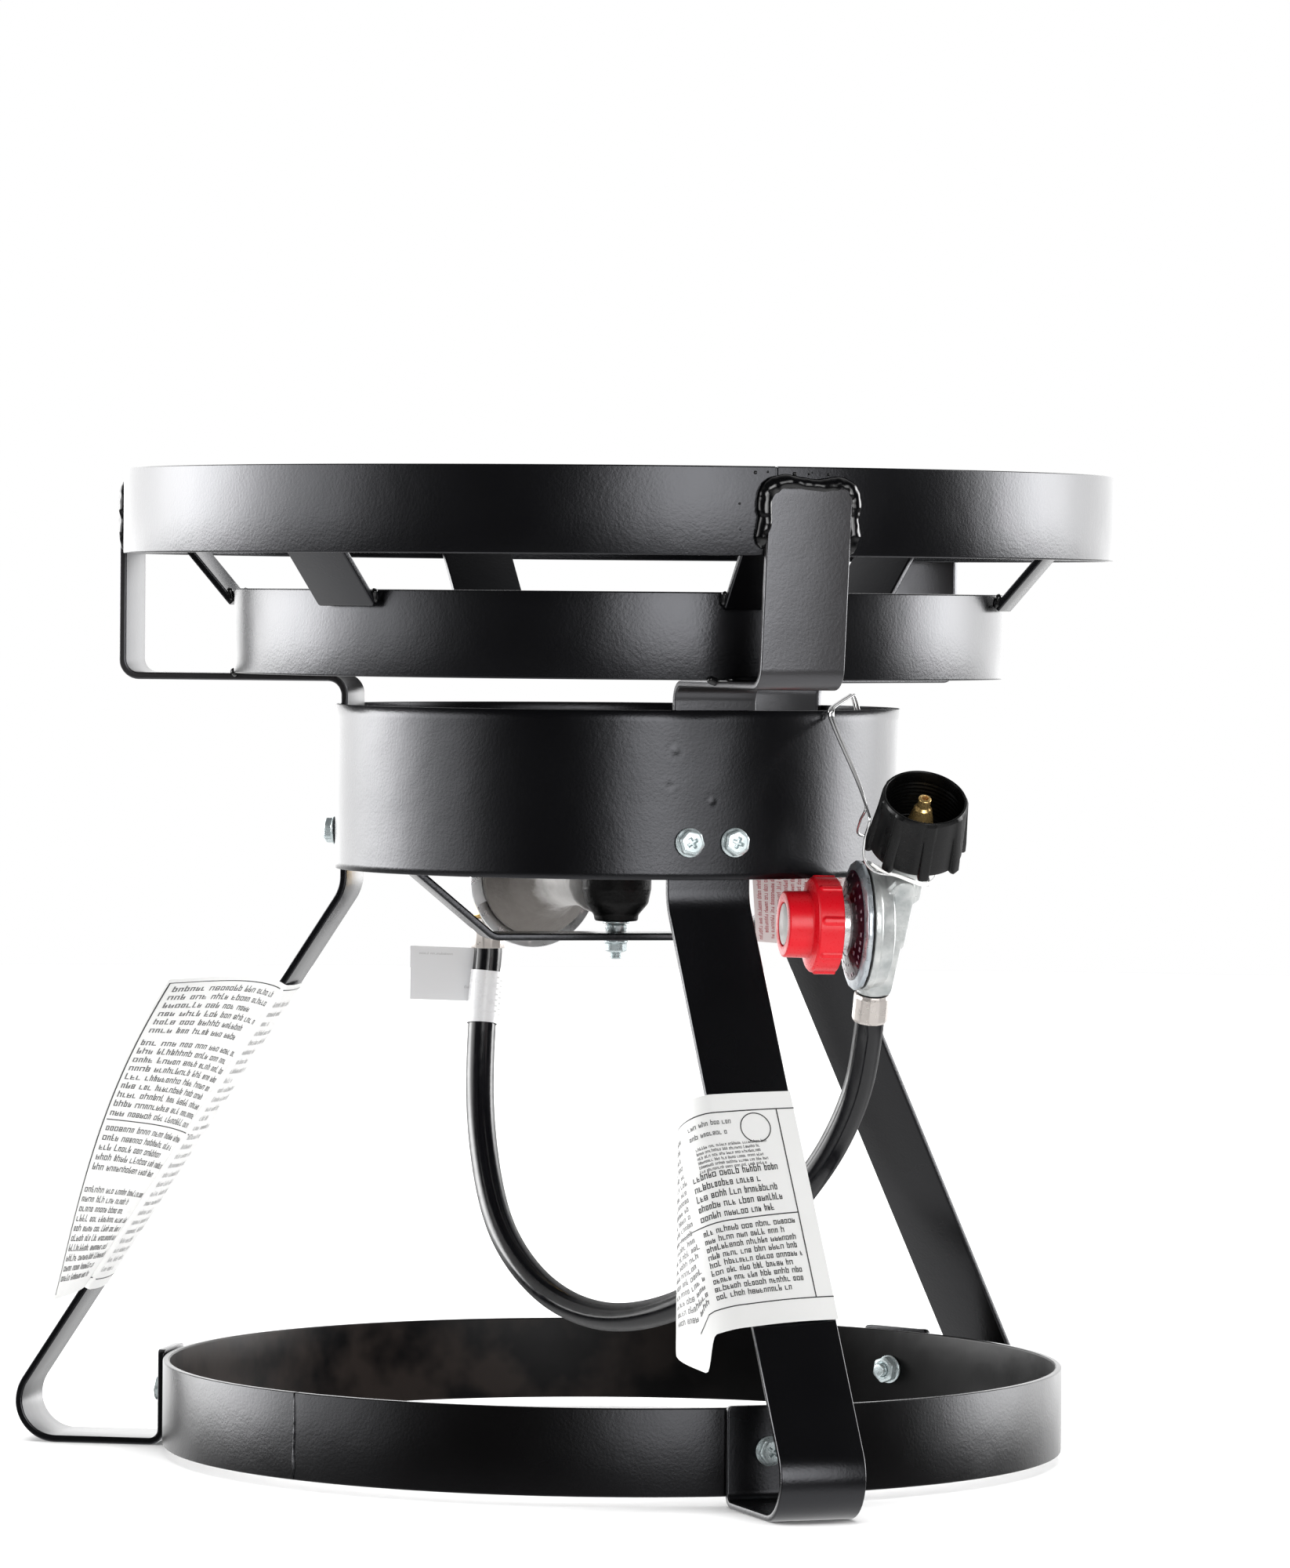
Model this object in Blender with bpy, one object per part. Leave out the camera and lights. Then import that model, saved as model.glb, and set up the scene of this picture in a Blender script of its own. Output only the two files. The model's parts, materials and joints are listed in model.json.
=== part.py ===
"""Propane burner stand: three strap legs on a base ring, a sheet wind shield round a cast burner,
two pot rings on welded strap arms, and an adjustable gas regulator that hangs from the shield on a
wire, with its hose. Metres, +Z up, front towards -Y. All dimensions below are millimetres,
measured from the stand's own upright axis, and SX, SY is where that axis stands."""

import math

import bpy
from mathutils import Matrix, Vector

MM = 0.001
SX, SY = 24.7, 20.2  # the stand's axis, so that the footprint without the hose is centred

for o in list(bpy.data.objects):
    bpy.data.objects.remove(o, do_unlink=True)

# ---- driving dimensions -------------------------------------------------------------------
STRAP_W, STRAP_T = 38.1, 3.2          # 1 1/2 x 1/8 inch flat bar
HALF = STRAP_W / 2
LEG_AZ = (19.2, -100.0, 139.2)        # round from the front towards +X
ARM_AZ = (20.3, -99.6, 140.3)
CRADLE_AZ = (20.5, 78.0, 140.5, 200.5, 260.5, -42.0)
BASE_R, BASE_Z0, BASE_Z1 = 203.5, 4.3, 42.4
SHIELD_R, SHIELD_T, SHIELD_Z0, SHIELD_Z1 = 127.5, 1.6, 265.0, 339.0
LOW_R, LOW_Z0, LOW_Z1 = 173.7, 352.6, 390.6
TOP_R, TOP_Z0, TOP_Z1 = 223.7, 406.0, 444.0
LEG_IN = 124.1                        # outer face of a strap where it stands inside the shield
SCREW_Z, TAB_SCREW_Z, SCREW_PITCH = 281.3, 24.0, 21.0


def radial(az):
    a = math.radians(az)
    return Vector((math.sin(a), -math.cos(a), 0.0))


def tangent(az):
    a = math.radians(az)
    return Vector((math.cos(a), math.sin(a), 0.0))


def make(name, verts, faces, smooth=None):
    me = bpy.data.meshes.new(name)
    me.from_pydata([((v[0] + SX) * MM, (v[1] + SY) * MM, v[2] * MM) for v in verts], [], faces)
    me.update()
    ob = bpy.data.objects.new(name, me)
    bpy.context.scene.collection.objects.link(ob)
    if smooth:
        me.shade_smooth()
        me.set_sharp_from_angle(angle=math.radians(smooth))
    return ob


def cut(ob, tool, how="DIFFERENCE"):
    m = ob.modifiers.new("cut", "BOOLEAN")
    m.operation, m.solver, m.object = how, "EXACT", tool
    tool.hide_render = True
    tool.display_type = "WIRE"
    return ob


def basis(z, xhint=Vector((1, 0, 0))):
    z = Vector(z).normalized()
    x = Vector(xhint) - z * Vector(xhint).dot(z)
    if x.length < 1e-4:
        x = Vector((0, 1, 0)) - z * z.y
    x.normalize()
    return x, z.cross(x), z


def lathe(name, prof, at, axis, seg=32, xhint=Vector((1, 0, 0)), smooth=35, loop=True,
          shape=None, turns=None):
    """prof is [(radius, height)]. With loop it closes on itself round a bore, otherwise its two
    ends lie on the axis. shape(j, angle, r, h) may move point j, and turns gives uneven angles
    in degrees."""
    x, y, z = basis(axis, xhint)
    at = Vector(at)
    angs = turns or [360.0 * i / seg for i in range(seg)]
    n = len(angs)
    verts, faces, rows = [], [], []
    area = sum(p[0] * q[1] - q[0] * p[1] for p, q in zip(prof, prof[1:] + prof[:1]))
    order = list(enumerate(prof))
    if area < 0:                                  # keep the solid on the profile's left
        order.reverse()
    for j, (r, h) in order:
        if not loop and j in (0, len(prof) - 1):
            rows.append([len(verts)])
            verts.append(at + z * h)
            continue
        row = []
        for a in angs:
            rr, hh = shape(j, a, r, h) if shape else (r, h)
            t = math.radians(a)
            row.append(len(verts))
            verts.append(at + x * (rr * math.cos(t)) + y * (rr * math.sin(t)) + z * hh)
        rows.append(row)
    pairs = list(zip(rows, rows[1:]))
    if loop:
        pairs.append((rows[-1], rows[0]))
    for a, b in pairs:
        for i in range(n):
            k = (i + 1) % n
            if len(a) == 1:
                faces.append((a[0], b[k], b[i]))
            elif len(b) == 1:
                faces.append((a[i], a[k], b[0]))
            else:
                faces.append((a[i], a[k], b[k], b[i]))
    return make(name, verts, faces, smooth)


def prism(name, outline, at, axis, h0, h1, xhint=Vector((1, 0, 0)), smooth=None):
    x, y, z = basis(axis, xhint)
    at = Vector(at)
    n = len(outline)
    verts = [at + x * p + y * q + z * h0 for p, q in outline]
    verts += [at + x * p + y * q + z * h1 for p, q in outline]
    faces = [(i, (i + 1) % n, n + (i + 1) % n, n + i) for i in range(n)]
    faces += [tuple(reversed(range(n))), tuple(range(n, 2 * n))]
    return make(name, verts, faces, smooth)


def cyl(name, r, at, axis, h0, h1, seg=16):
    return prism(name, [(r * math.cos(2 * math.pi * i / seg), r * math.sin(2 * math.pi * i / seg))
                        for i in range(seg)], at, axis, h0, h1)


def arc(cx, cz, r, a0, a1, n):
    """Points on a circle from angle a0 to a1 in degrees, with the outward normal at each."""
    out = []
    for i in range(n + 1):
        a = math.radians(a0 + (a1 - a0) * i / n)
        out.append((cx + r * math.cos(a), cz + r * math.sin(a)))
    return out


def strap(name, path, az, w=STRAP_W, t=STRAP_T, smooth=30):
    """A bent flat bar. path is its centreline as (distance from the axis, height)."""
    er, et = radial(az), tangent(az)
    verts, faces = [], []
    n = len(path)
    for i, (r, z) in enumerate(path):
        a = path[max(i - 1, 0)]
        b = path[min(i + 1, n - 1)]
        d0 = Vector((r - a[0], z - a[1])) if i else Vector((b[0] - r, b[1] - z))
        d1 = Vector((b[0] - r, b[1] - z)) if i < n - 1 else d0
        d0, d1 = d0.normalized(), d1.normalized()
        d = (d0 + d1).normalized()
        nn = Vector((-d.y, d.x)) / max(d.dot(d0), 0.5)
        for sn, sb in ((1, 1), (1, -1), (-1, -1), (-1, 1)):
            p = er * (r + nn.x * sn * t / 2) + et * (sb * w / 2)
            verts.append((p.x, p.y, z + nn.y * sn * t / 2))
    for i in range(n - 1):
        for k in range(4):
            m = (k + 1) % 4
            faces.append((4 * i + k, 4 * i + m, 4 * i + 4 + m, 4 * i + 4 + k))
    faces += [(3, 2, 1, 0), (4 * n - 4, 4 * n - 3, 4 * n - 2, 4 * n - 1)]
    return make(name, verts, faces, smooth)


def band(name, r, t, z0, z1, seg=72):
    return lathe(name, [(r - t, z0), (r, z0), (r, z1), (r - t, z1)], (0, 0, 0), (0, 0, 1), seg,
                 Vector((0, -1, 0)))


# ---- rings and shield ---------------------------------------------------------------------
base = band("base_ring", BASE_R, 3.2, BASE_Z0, BASE_Z1)
top = band("upper_ring", TOP_R, 3.2, TOP_Z0, TOP_Z1)
low = band("lower_ring", LOW_R, 3.2, LOW_Z0, LOW_Z1)
shield = band("wind_shield", SHIELD_R, SHIELD_T, SHIELD_Z0, SHIELD_Z1, 80)

# ---- legs ---------------------------------------------------------------------------------
T2 = STRAP_T / 2
leg_r = LEG_IN - T2
SLANT = math.radians(33.0)
foot_c = (255.0, 19.0)
foot_r = 17.4
p_foot = (foot_c[0] + foot_r * math.cos(SLANT), foot_c[1] + foot_r * math.sin(SLANT))
knee_z = p_foot[1] + (p_foot[0] - leg_r) / math.tan(SLANT)
KR = 20.0
kt = KR * math.tan(SLANT / 2)
knee = arc(leg_r + KR, knee_z + kt, KR, 180.0, 180.0 + 33.0, 4)
foot = arc(foot_c[0], foot_c[1], foot_r, 33.0, -90.0, 9)
tab_r = 204.0 + T2
toe = arc(tab_r + 5.6, 1.6 + 5.6, 5.6, -90.0, -180.0, 4)
leg_path = [(leg_r, 292.0)] + knee + foot + toe + [(tab_r, 43.6)]

LEG_NAMES = ("front", "left", "right")
for nm, az in zip(LEG_NAMES, LEG_AZ):
    er, et = radial(az), tangent(az)
    leg = strap(f"leg_{nm}", leg_path, az)
    for s in (-1, 1):
        at = et * (s * SCREW_PITCH / 2) + Vector((0, 0, SCREW_Z))
        tool = cyl(f"hole_{nm}_{s}", 3.5, at, er, 110.0, 135.0, 12)
        cut(leg, tool)
        cut(shield, tool)
    tool = cyl(f"hole_{nm}_tab", 3.5, Vector((0, 0, TAB_SCREW_Z)), er, 190.0, 215.0, 12)
    cut(leg, tool)
    cut(base, tool)


def hexagon(af, turn=0.0):
    r = af / math.sqrt(3)
    return [(r * math.cos(math.radians(60 * i + 30 + turn)),
             r * math.sin(math.radians(60 * i + 30 + turn))) for i in range(6)]


def screw(name, at, axis, head_z, tip_z, turn=0.0):
    """Hex washer head screw: axis points out of the head, head_z is the flange's underside."""
    n = 12
    rad = [(0, tip_z), (3.0, tip_z), (3.0, head_z), (6.5, head_z), (6.4, head_z + 1.2),
           (5.2, head_z + 1.3), (5.2, head_z + 4.7), (0, head_z + 5.2)]

    def shape(j, a, r, h):
        if j in (5, 6):
            b = (a - turn + 30.0) % 60.0 - 30.0
            r = 5.2 / math.cos(math.radians(b))
        return r, h
    return lathe(name, rad, at, axis, n, Vector((0, 0, 1)), 30, False, shape,
                 [turn + 30.0 * i for i in range(n)])


def nut(name, at, axis, z0, af=11.1, bore=3.3, h=5.6, flange=6.6, turn=0.0, seg=12):
    """Flange nut: its flange lies at z0 and it stands up along axis."""
    rad = [(bore, z0), (flange, z0), (flange, z0 + 1.0), (af / 2, z0 + 1.5), (af / 2, z0 + h),
           (bore, z0 + h)]

    def shape(j, a, r, h):
        if j in (3, 4):
            b = (a - turn + 30.0) % 60.0 - 30.0
            r = af / 2 / math.cos(math.radians(b))
        return r, h
    return lathe(name, rad, at, axis, seg, Vector((0, 0, 1)), 30, True, shape,
                 [turn + 360.0 / seg * i for i in range(seg)])


for nm, az in zip(LEG_NAMES, LEG_AZ):
    er, et = radial(az), tangent(az)
    for tag, s in (("a", -1), ("b", 1)):
        at = et * (s * SCREW_PITCH / 2) + Vector((0, 0, SCREW_Z))
        screw(f"shield_screw_{nm}_{tag}", at, er, 127.6, 112.0, 17.0 * s)
        nut(f"shield_nut_{nm}_{tag}", at, -er, -(LEG_IN - STRAP_T - 0.3), turn=9.0 * s)
    at = Vector((0, 0, TAB_SCREW_Z))
    screw(f"base_screw_{nm}", at, er, 204.0 + STRAP_T + 0.3, 191.5, 8.0)
    nut(f"base_nut_{nm}", at, -er, -(BASE_R - 3.2 - 0.4), turn=20.0)

# ---- arms and cradle straps ---------------------------------------------------------------
ARM_IN, ARM_OUT, ARM_Z = LEG_IN - T2, TOP_R + 0.4 + T2, 349.0 + T2
arm_path = ([(ARM_IN, 295.0)] + arc(ARM_IN + 7.6, ARM_Z - 7.6, 7.6, 180.0, 90.0, 5)
            + arc(ARM_OUT - 7.6, ARM_Z + 7.6, 7.6, -90.0, 0.0, 5) + [(ARM_OUT, 435.0)])
for nm, az in zip(LEG_NAMES, ARM_AZ):
    strap(f"arm_{nm}", arm_path, az)

TILT = math.radians(40.5)
cd = Vector((math.sin(TILT), math.cos(TILT)))
cn = Vector((math.cos(TILT), -math.sin(TILT)))
c0 = Vector((176.6, 383.2))                       # lower outer edge
c1 = c0 + cd * ((219.3 - c0.x) / cd.x)            # upper outer edge, just inside the top ring
for i, az in enumerate(CRADLE_AZ):
    a, b = c0 - cn * T2, c1 - cn * T2
    strap(f"cradle_strap_{i + 1}", [tuple(a), tuple(b)], az, w=34.0)

# ---- burner -------------------------------------------------------------------------------
BZ = 259.0                                        # height of the venturi's axis
BRACE_Z = 233.3
ba = math.radians(12.0)
brace_dir = Vector((math.cos(ba), math.sin(ba), 0))


def brace_strap(name, path, d, w, t):
    """A flat bar bent in the upright plane along d through the axis."""
    az = math.degrees(math.atan2(d.x, -d.y))
    return strap(name, path, az, w, t)


BW = 25.4
BR_FLAT, BR_TOP = 58.5, 312.0
bz = BRACE_Z + T2
wall = math.sqrt(125.9 ** 2 - (BW / 2) ** 2) - 0.5 - T2
rise = 289.0
slope = math.atan2(rise - bz, wall - BR_FLAT)
sd = math.degrees(slope)
RB = 7.0
tl = RB * math.tan(slope / 2)
tu = RB * math.tan((math.pi / 2 - slope) / 2)
half_path = (arc(BR_FLAT - tl, bz + RB, RB, -90.0, -90.0 + sd, 3)
             + arc(wall - RB, rise + tu, RB, -90.0 + sd, 0.0, 3) + [(wall, BR_TOP)])
brace_path = [(-r, z) for r, z in reversed(half_path)] + half_path
brace = brace_strap("burner_brace", brace_path, brace_dir, BW, STRAP_T)
cut(brace, cyl("brace_hole", 2.9, (0, 0, 0), (0, 0, 1), 225.0, 245.0, 12))

BELL = [(2.9, 241.7), (9.8, 241.7), (10.2, 244.6), (14.4, 249.6), (15.8, 256.0), (16.0, 268.0),
        (19.5, 277.5), (41.0, 289.0), (48.0, 295.0), (48.0, 301.0), (45.0, 301.0), (45.0, 296.5),
        (26.0, 287.6), (16.4, 279.5), (12.8, 268.0), (12.4, 254.0), (8.0, 248.6), (2.9, 248.6)]
bowl = lathe("burner_bowl", BELL, (0, 0, 0), (0, 0, 1), 28)
VD = Vector((-0.468, 0.884, 0)).normalized()
VO = Vector((0, 0, BZ))
cut(bowl, cyl("bowl_side_hole", 8.3, VO, VD, 6.0, 30.0, 20))

pts = []
for i in range(24):
    for a, r in ((-5.2, 50.0), (1.8, 50.0), (1.8, 42.5), (4.2, 42.5), (4.2, 50.0)):
        if a == -5.2 or a in (1.8, 4.2):
            t = math.radians(15.0 * i + a)
            pts.append((r * math.cos(t), r * math.sin(t)))
cap = prism("burner_port_cap", pts, (0, 0, 0), (0, 0, 1), 301.3, 306.5)
cut(cap, cyl("cap_hole", 2.9, (0, 0, 0), (0, 0, 1), 290.0, 320.0, 12))

horn = lathe("venturi_horn",
             [(6.9, 10.5), (8.0, 10.5), (8.0, 17.4), (14.5, 18.6), (12.4, 26.0), (11.6, 38.0),
              (13.0, 54.0), (19.0, 69.0), (27.5, 77.5), (27.5, 81.0), (6.4, 81.0),
              (6.4, 78.0), (24.0, 78.0), (15.6, 67.0), (9.6, 52.0), (8.8, 36.0)],
             VO, VD, 28, Vector((0, 0, 1)))


def window(name, az, r0, r1, wide, h0, h1):
    out = []
    for i in range(5):
        t = math.radians(az - wide + 2 * wide * i / 4)
        out.append((r1 * math.cos(t), r1 * math.sin(t)))
    for i in range(5):
        t = math.radians(az + wide - 2 * wide * i / 4)
        out.append((r0 * math.cos(t), r0 * math.sin(t)))
    return prism(name, out, VO, VD, h0, h1, Vector((0, 0, 1)))


shutter = lathe("air_shutter", [(7.4, 81.4), (33.0, 81.4), (33.0, 82.6), (7.4, 82.6)], VO, VD, 32,
                Vector((0, 0, 1)))
for i in range(3):
    cut(horn, window(f"horn_window_{i}", 60 + 120 * i, 10.5, 22.5, 34, 77.0, 82.0))
    cut(shutter, window(f"shutter_window_{i}", 95 + 120 * i, 11.0, 22.0, 30, 81.0, 83.0))

# gas orifice fitting through the shutter's middle, then the elbow, ferrule and hose
lathe("orifice_fitting",
      [(0.9, 68.0), (2.6, 68.0), (4.6, 73.0), (5.9, 75.0), (5.9, 83.0), (9.6, 83.0), (9.6, 90.0),
       (6.0, 91.0), (6.0, 106.0), (2.6, 106.0), (2.6, 76.0)], VO, VD, 12, Vector((0, 0, 1)), 30)


def tube(name, path, radii, bores, seg=12, smooth=35, up=Vector((1, 0, 0))):
    """A bored solid along a path of points. radii and bores give its outside and its bore."""
    verts, faces = [], []
    n = len(path)
    prev = None
    for i, p in enumerate(path):
        p = Vector(p)
        d = (Vector(path[min(i + 1, n - 1)]) - Vector(path[max(i - 1, 0)])).normalized()
        x = (prev if prev is not None else up)
        x = (x - d * x.dot(d)).normalized()
        prev = x
        y = d.cross(x)
        for r in (radii[i], bores[i]):
            for k in range(seg):
                t = 2 * math.pi * k / seg
                verts.append(p + x * (r * math.cos(t)) + y * (r * math.sin(t)))
    for i in range(n - 1):
        o, q = 2 * seg * i, 2 * seg * (i + 1)
        for k in range(seg):
            m = (k + 1) % seg
            faces.append((o + k, o + m, q + m, q + k))
            faces.append((o + seg + m, o + seg + k, q + seg + k, q + seg + m))
    for k in range(seg):
        m = (k + 1) % seg
        faces.append((m, k, seg + k, seg + m))
        o = 2 * seg * (n - 1)
        faces.append((o + k, o + m, o + seg + m, o + seg + k))
    return make(name, verts, faces, smooth)


EL = VO + VD * 129.0                              # where the hose drops from the elbow
down = Vector((0, 0, -1))
el_path = [VO + VD * 106.4, VO + VD * 113.0]
for i in range(5):
    t = math.radians(90.0 * i / 4)
    el_path.append(EL + VD * (-9.0 + 9.0 * math.sin(t)) + down * (9.0 - 9.0 * math.cos(t)))
el_path += [EL + down * 14.0, EL + down * 21.0]
tube("elbow", el_path, [8.6, 8.6] + [7.2] * 7, [2.7] * 9, 10)
FER_B = EL + down * 21.3                          # top of the burner's ferrule
lathe("ferrule_burner", [(6.85, 0.0), (7.9, 0.0), (7.9, 14.0), (6.85, 14.0)], FER_B, down, 16,
      Vector((1, 0, 0)), 30)

lathe("burner_stud", [(0, 224.5), (2.1, 224.5), (2.6, 225.1), (2.6, 309.5), (0, 309.5)],
      (0, 0, 0), (0, 0, 1), 10, loop=False)
lathe("burner_washer", [(2.8, 240.6), (6.0, 240.6), (6.0, 241.5), (2.8, 241.5)], (0, 0, 0),
      (0, 0, 1), 16)
nut("burner_nut_upper", (0, 0, 0), (0, 0, 1), 236.75, 9.0, 2.8, 3.7, 4.6, 12.0)
nut("burner_nut_lower", (0, 0, 0), (0, 0, -1), -(BRACE_Z - 0.3), 9.0, 2.8, 5.4, 5.4, 4.0)

# ---- regulator ----------------------------------------------------------------------------
K = Vector((-0.980, -0.197, 0.016)).normalized()  # towards the knob
ZK = (Vector((0, 0, 1)) - K * K.z).normalized()
FK = ZK.cross(K)                                  # in the disc's plane, towards the front
if FK.y > 0:
    FK = -FK
C = Vector((108.0, -102.4, 245.0))                # middle of the seam of the two halves
IN_A, OUT_A = 16.6, 7.8                           # how far behind the seam the ports lie
U = (ZK * math.cos(math.radians(38.0)) + FK * math.sin(math.radians(38.0))).normalized()
D = -(ZK * math.cos(math.radians(17.0)) + FK * math.sin(math.radians(17.0))).normalized()
PIN, POUT = C - K * IN_A, C - K * OUT_A

body = lathe("regulator_body",
             [(0, -10.4), (23.0, -10.4), (26.4, -9.4), (27.4, -3.4), (28.5, -2.8),
              (28.5, -0.15), (22.0, -0.15), (22.0, -4.4), (0, -4.4)], C, K, 28, U, 35, False)


def ridge(name, outline, axis, w):
    """A block of half width w across the back of the body, outlined in (along K, along axis)."""
    side = K.cross(axis).normalized()
    verts = [C + K * a + axis * h - side * w for a, h in outline]
    verts += [C + K * a + axis * h + side * w for a, h in outline]
    n = len(outline)
    faces = [(i, (i + 1) % n, n + (i + 1) % n, n + i) for i in range(n)]
    faces += [tuple(reversed(range(n))), tuple(range(n, 2 * n))]
    return make(name, verts, faces)


# the ridge that carries gas from the inlet down across the back to the outlet
cut(body, ridge("ridge_in", [(-8.0, -3.0), (-8.0, 26.0), (-10.4, 31.6), (-18.6, 32.4),
                             (-19.4, 24.0), (-19.4, -3.0)], U, 8.4), "UNION")
cut(body, ridge("ridge_out", [(-8.0, -3.0), (-19.4, -3.0), (-15.6, 27.0), (-14.8, 31.0),
                              (-0.8, 31.0), (-4.0, 24.0)], D, 7.4), "UNION")
cut(body, cyl("inlet_neck", 6.8, PIN, U, 20.0, 46.5, 16), "UNION")
cut(body, cyl("inlet_bore", 5.3, PIN, U, 31.8, 52.0, 12))
cut(body, cyl("inlet_way", 2.0, PIN, U, 2.0, 35.0, 8))
cut(body, cyl("valve_way", 3.2, C, K, -17.6, 0.0, 12))
cut(body, cyl("outlet_bore", 3.0, POUT, D, 14.0, 40.0, 10))
cut(body, cyl("outlet_way", 1.8, C + D * 18.0, K, -8.6, 0.0, 8))

lathe("regulator_bonnet",
      [(22.0, 0.65), (28.5, 0.65), (28.5, 3.1), (24.6, 3.9), (13.2, 6.6), (11.0, 7.0),
       (11.0, 12.2), (3.4, 12.2), (3.4, 9.2), (8.4, 9.2), (8.4, 6.2), (22.0, 2.6)],
      C, K, 28, U)
lathe("diaphragm", [(0, 0.15), (28.0, 0.15), (28.0, 0.35), (0, 0.35)], C, K, 24, U, loop=False)
lathe("valve_poppet", [(0, -13.0), (2.7, -13.0), (2.7, -9.5), (1.1, -8.5), (1.1, -0.3), (0, -0.3)],
      C, K, 10, U, loop=False)
lathe("spring_button", [(1.7, 4.6), (6.6, 4.6), (6.6, 6.0), (3.0, 6.4), (3.0, 8.6), (1.7, 8.6)],
      C, K, 12, U)

# the range spring, between the diaphragm and the button
sp = []
for i in range(4 * 8 + 1):
    t = i / 32
    a = 2 * math.pi * 4 * t
    X, Y, _ = basis(K, U)
    sp.append(C + K * (0.95 + 3.0 * t) + (X * math.cos(a) + Y * math.sin(a)) * 5.2)


def cord(name, pts, r, res):
    cu = bpy.data.curves.new(name, "CURVE")
    cu.dimensions, cu.bevel_depth, cu.bevel_resolution = "3D", r * MM, res
    cu.use_fill_caps = True
    s = cu.splines.new("POLY")
    s.points.add(len(pts) - 1)
    for q, p in zip(s.points, pts):
        q.co = ((p[0] + SX) * MM, (p[1] + SY) * MM, p[2] * MM, 1)
    ob = bpy.data.objects.new(name, cu)
    bpy.context.scene.collection.objects.link(ob)
    return ob


cord("range_spring", sp, 0.32, 1)

KN = C + K * 35.2                                 # middle of the knob's front face
RIBS, RW = 8, 7.0
turns = []
for i in range(RIBS):
    c = 360.0 / RIBS * i
    turns += [c - RW - 1.0, c - RW, c + RW, c + RW + 1.0]
turns += [360.0 / RIBS * (i + 0.5) for i in range(RIBS)]
turns = sorted(turns)


def on_rib(a, n=RIBS, w=RW):
    b = (a + 180.0 / n) % (360.0 / n) - 180.0 / n
    return abs(b) < w + 0.2


def knob_shape(j, a, r, h):
    return (r + 0.7, h) if j in (8, 9) and on_rib(a) else (r, h)


# heights run back from the front face
lathe("control_knob",
      [(0, -1.3), (9.5, -1.3), (9.5, 0.0), (13.6, 0.0), (14.5, -0.9), (14.6, -9.2), (15.4, -9.6),
       (21.2, -12.4), (22.1, -13.4), (22.1, -23.3), (20.2, -23.3), (19.6, -14.6), (6.4, -13.2),
       (6.4, -20.0), (2.4, -20.0), (2.4, -12.0), (0, -12.0)],
      KN, K, xhint=U, loop=False, shape=knob_shape, turns=turns)
lathe("knob_disc", [(0, -1.0), (9.2, -1.0), (9.2, -0.2), (0, -0.2)], KN, K, 24, U, loop=False)
lathe("adjusting_screw",
      [(0, 3.9), (1.4, 3.9), (1.4, 8.9), (3.1, 8.9), (3.1, 14.9), (2.1, 15.1), (2.1, 22.9), (0, 22.9)],
      C, K, 12, U, loop=False)

# inlet nipple and its captive coupling nut
lathe("inlet_nipple",
      [(1.6, 32.2), (5.0, 32.2), (5.0, 46.8), (6.7, 46.8), (6.7, 50.5), (9.6, 50.5), (9.6, 53.2),
       (6.4, 53.8), (6.4, 60.2), (5.7, 66.7), (3.4, 67.8), (3.4, 72.8), (1.6, 73.1)], PIN, U, 14,
      K)
NR, NW = 8, 5.5
nturns = []
for i in range(NR):
    c = 360.0 / NR * i
    nturns += [c - NW - 2.0, c - NW, c + NW, c + NW + 2.0]
nturns += [360.0 / NR * (i + 0.5) for i in range(NR)]
nturns = sorted(nturns)


def nut_shape(j, a, r, h):
    if on_rib(a, NR, NW):
        if j == 1:
            return r + 1.9, h - 1.6
        if j == 2:
            return r + 1.6, h
        if j == 3:
            return r + 0.35, h
    return r, h


lathe("coupling_nut",
      [(19.0, 45.6), (20.8, 45.6), (20.5, 49.2), (18.9, 72.0), (18.4, 73.3), (17.4, 73.3),
       (16.6, 68.8), (16.6, 50.1), (7.1, 50.1), (7.1, 47.1), (18.4, 47.1)],
      PIN, U, xhint=FK, shape=nut_shape, turns=nturns)

# outlet ferrule and hose
FER_R = POUT + D * 31.5
lathe("ferrule_regulator", [(6.85, 0.0), (7.5, 0.0), (7.8, 2.0), (7.8, 12.4), (7.5, 12.8),
                            (6.85, 12.8)], FER_R, D, 16, K, 30)


def smooth_path(keys, n):
    """Even points on a smooth curve through keys."""
    P = [keys[0] * 2 - keys[1]] + list(keys) + [keys[-1] * 2 - keys[-2]]
    fine = []
    for i in range(1, len(P) - 2):
        a, b, c, d = P[i - 1], P[i], P[i + 1], P[i + 2]
        for k in range(24):
            t = k / 24
            fine.append(0.5 * ((2 * b) + (c - a) * t + (2 * a - 5 * b + 4 * c - d) * t * t
                               + (3 * b - a - 3 * c + d) * t ** 3))
    fine.append(P[-2])
    for _ in range(60):                            # even out the bends
        fine = [fine[0], fine[1]] + [
            fine[i] * 0.5 + (fine[i - 1] + fine[i + 1]) * 0.25 for i in range(2, len(fine) - 2)
        ] + [fine[-2], fine[-1]]
    s = [0.0]
    for p, q in zip(fine, fine[1:]):
        s.append(s[-1] + (q - p).length)
    out, k = [], 0
    for i in range(n):
        w = s[-1] * i / (n - 1)
        while k < len(s) - 2 and s[k + 1] < w:
            k += 1
        f = (w - s[k]) / max(s[k + 1] - s[k], 1e-9)
        out.append(fine[k].lerp(fine[k + 1], f))
    return out


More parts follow.
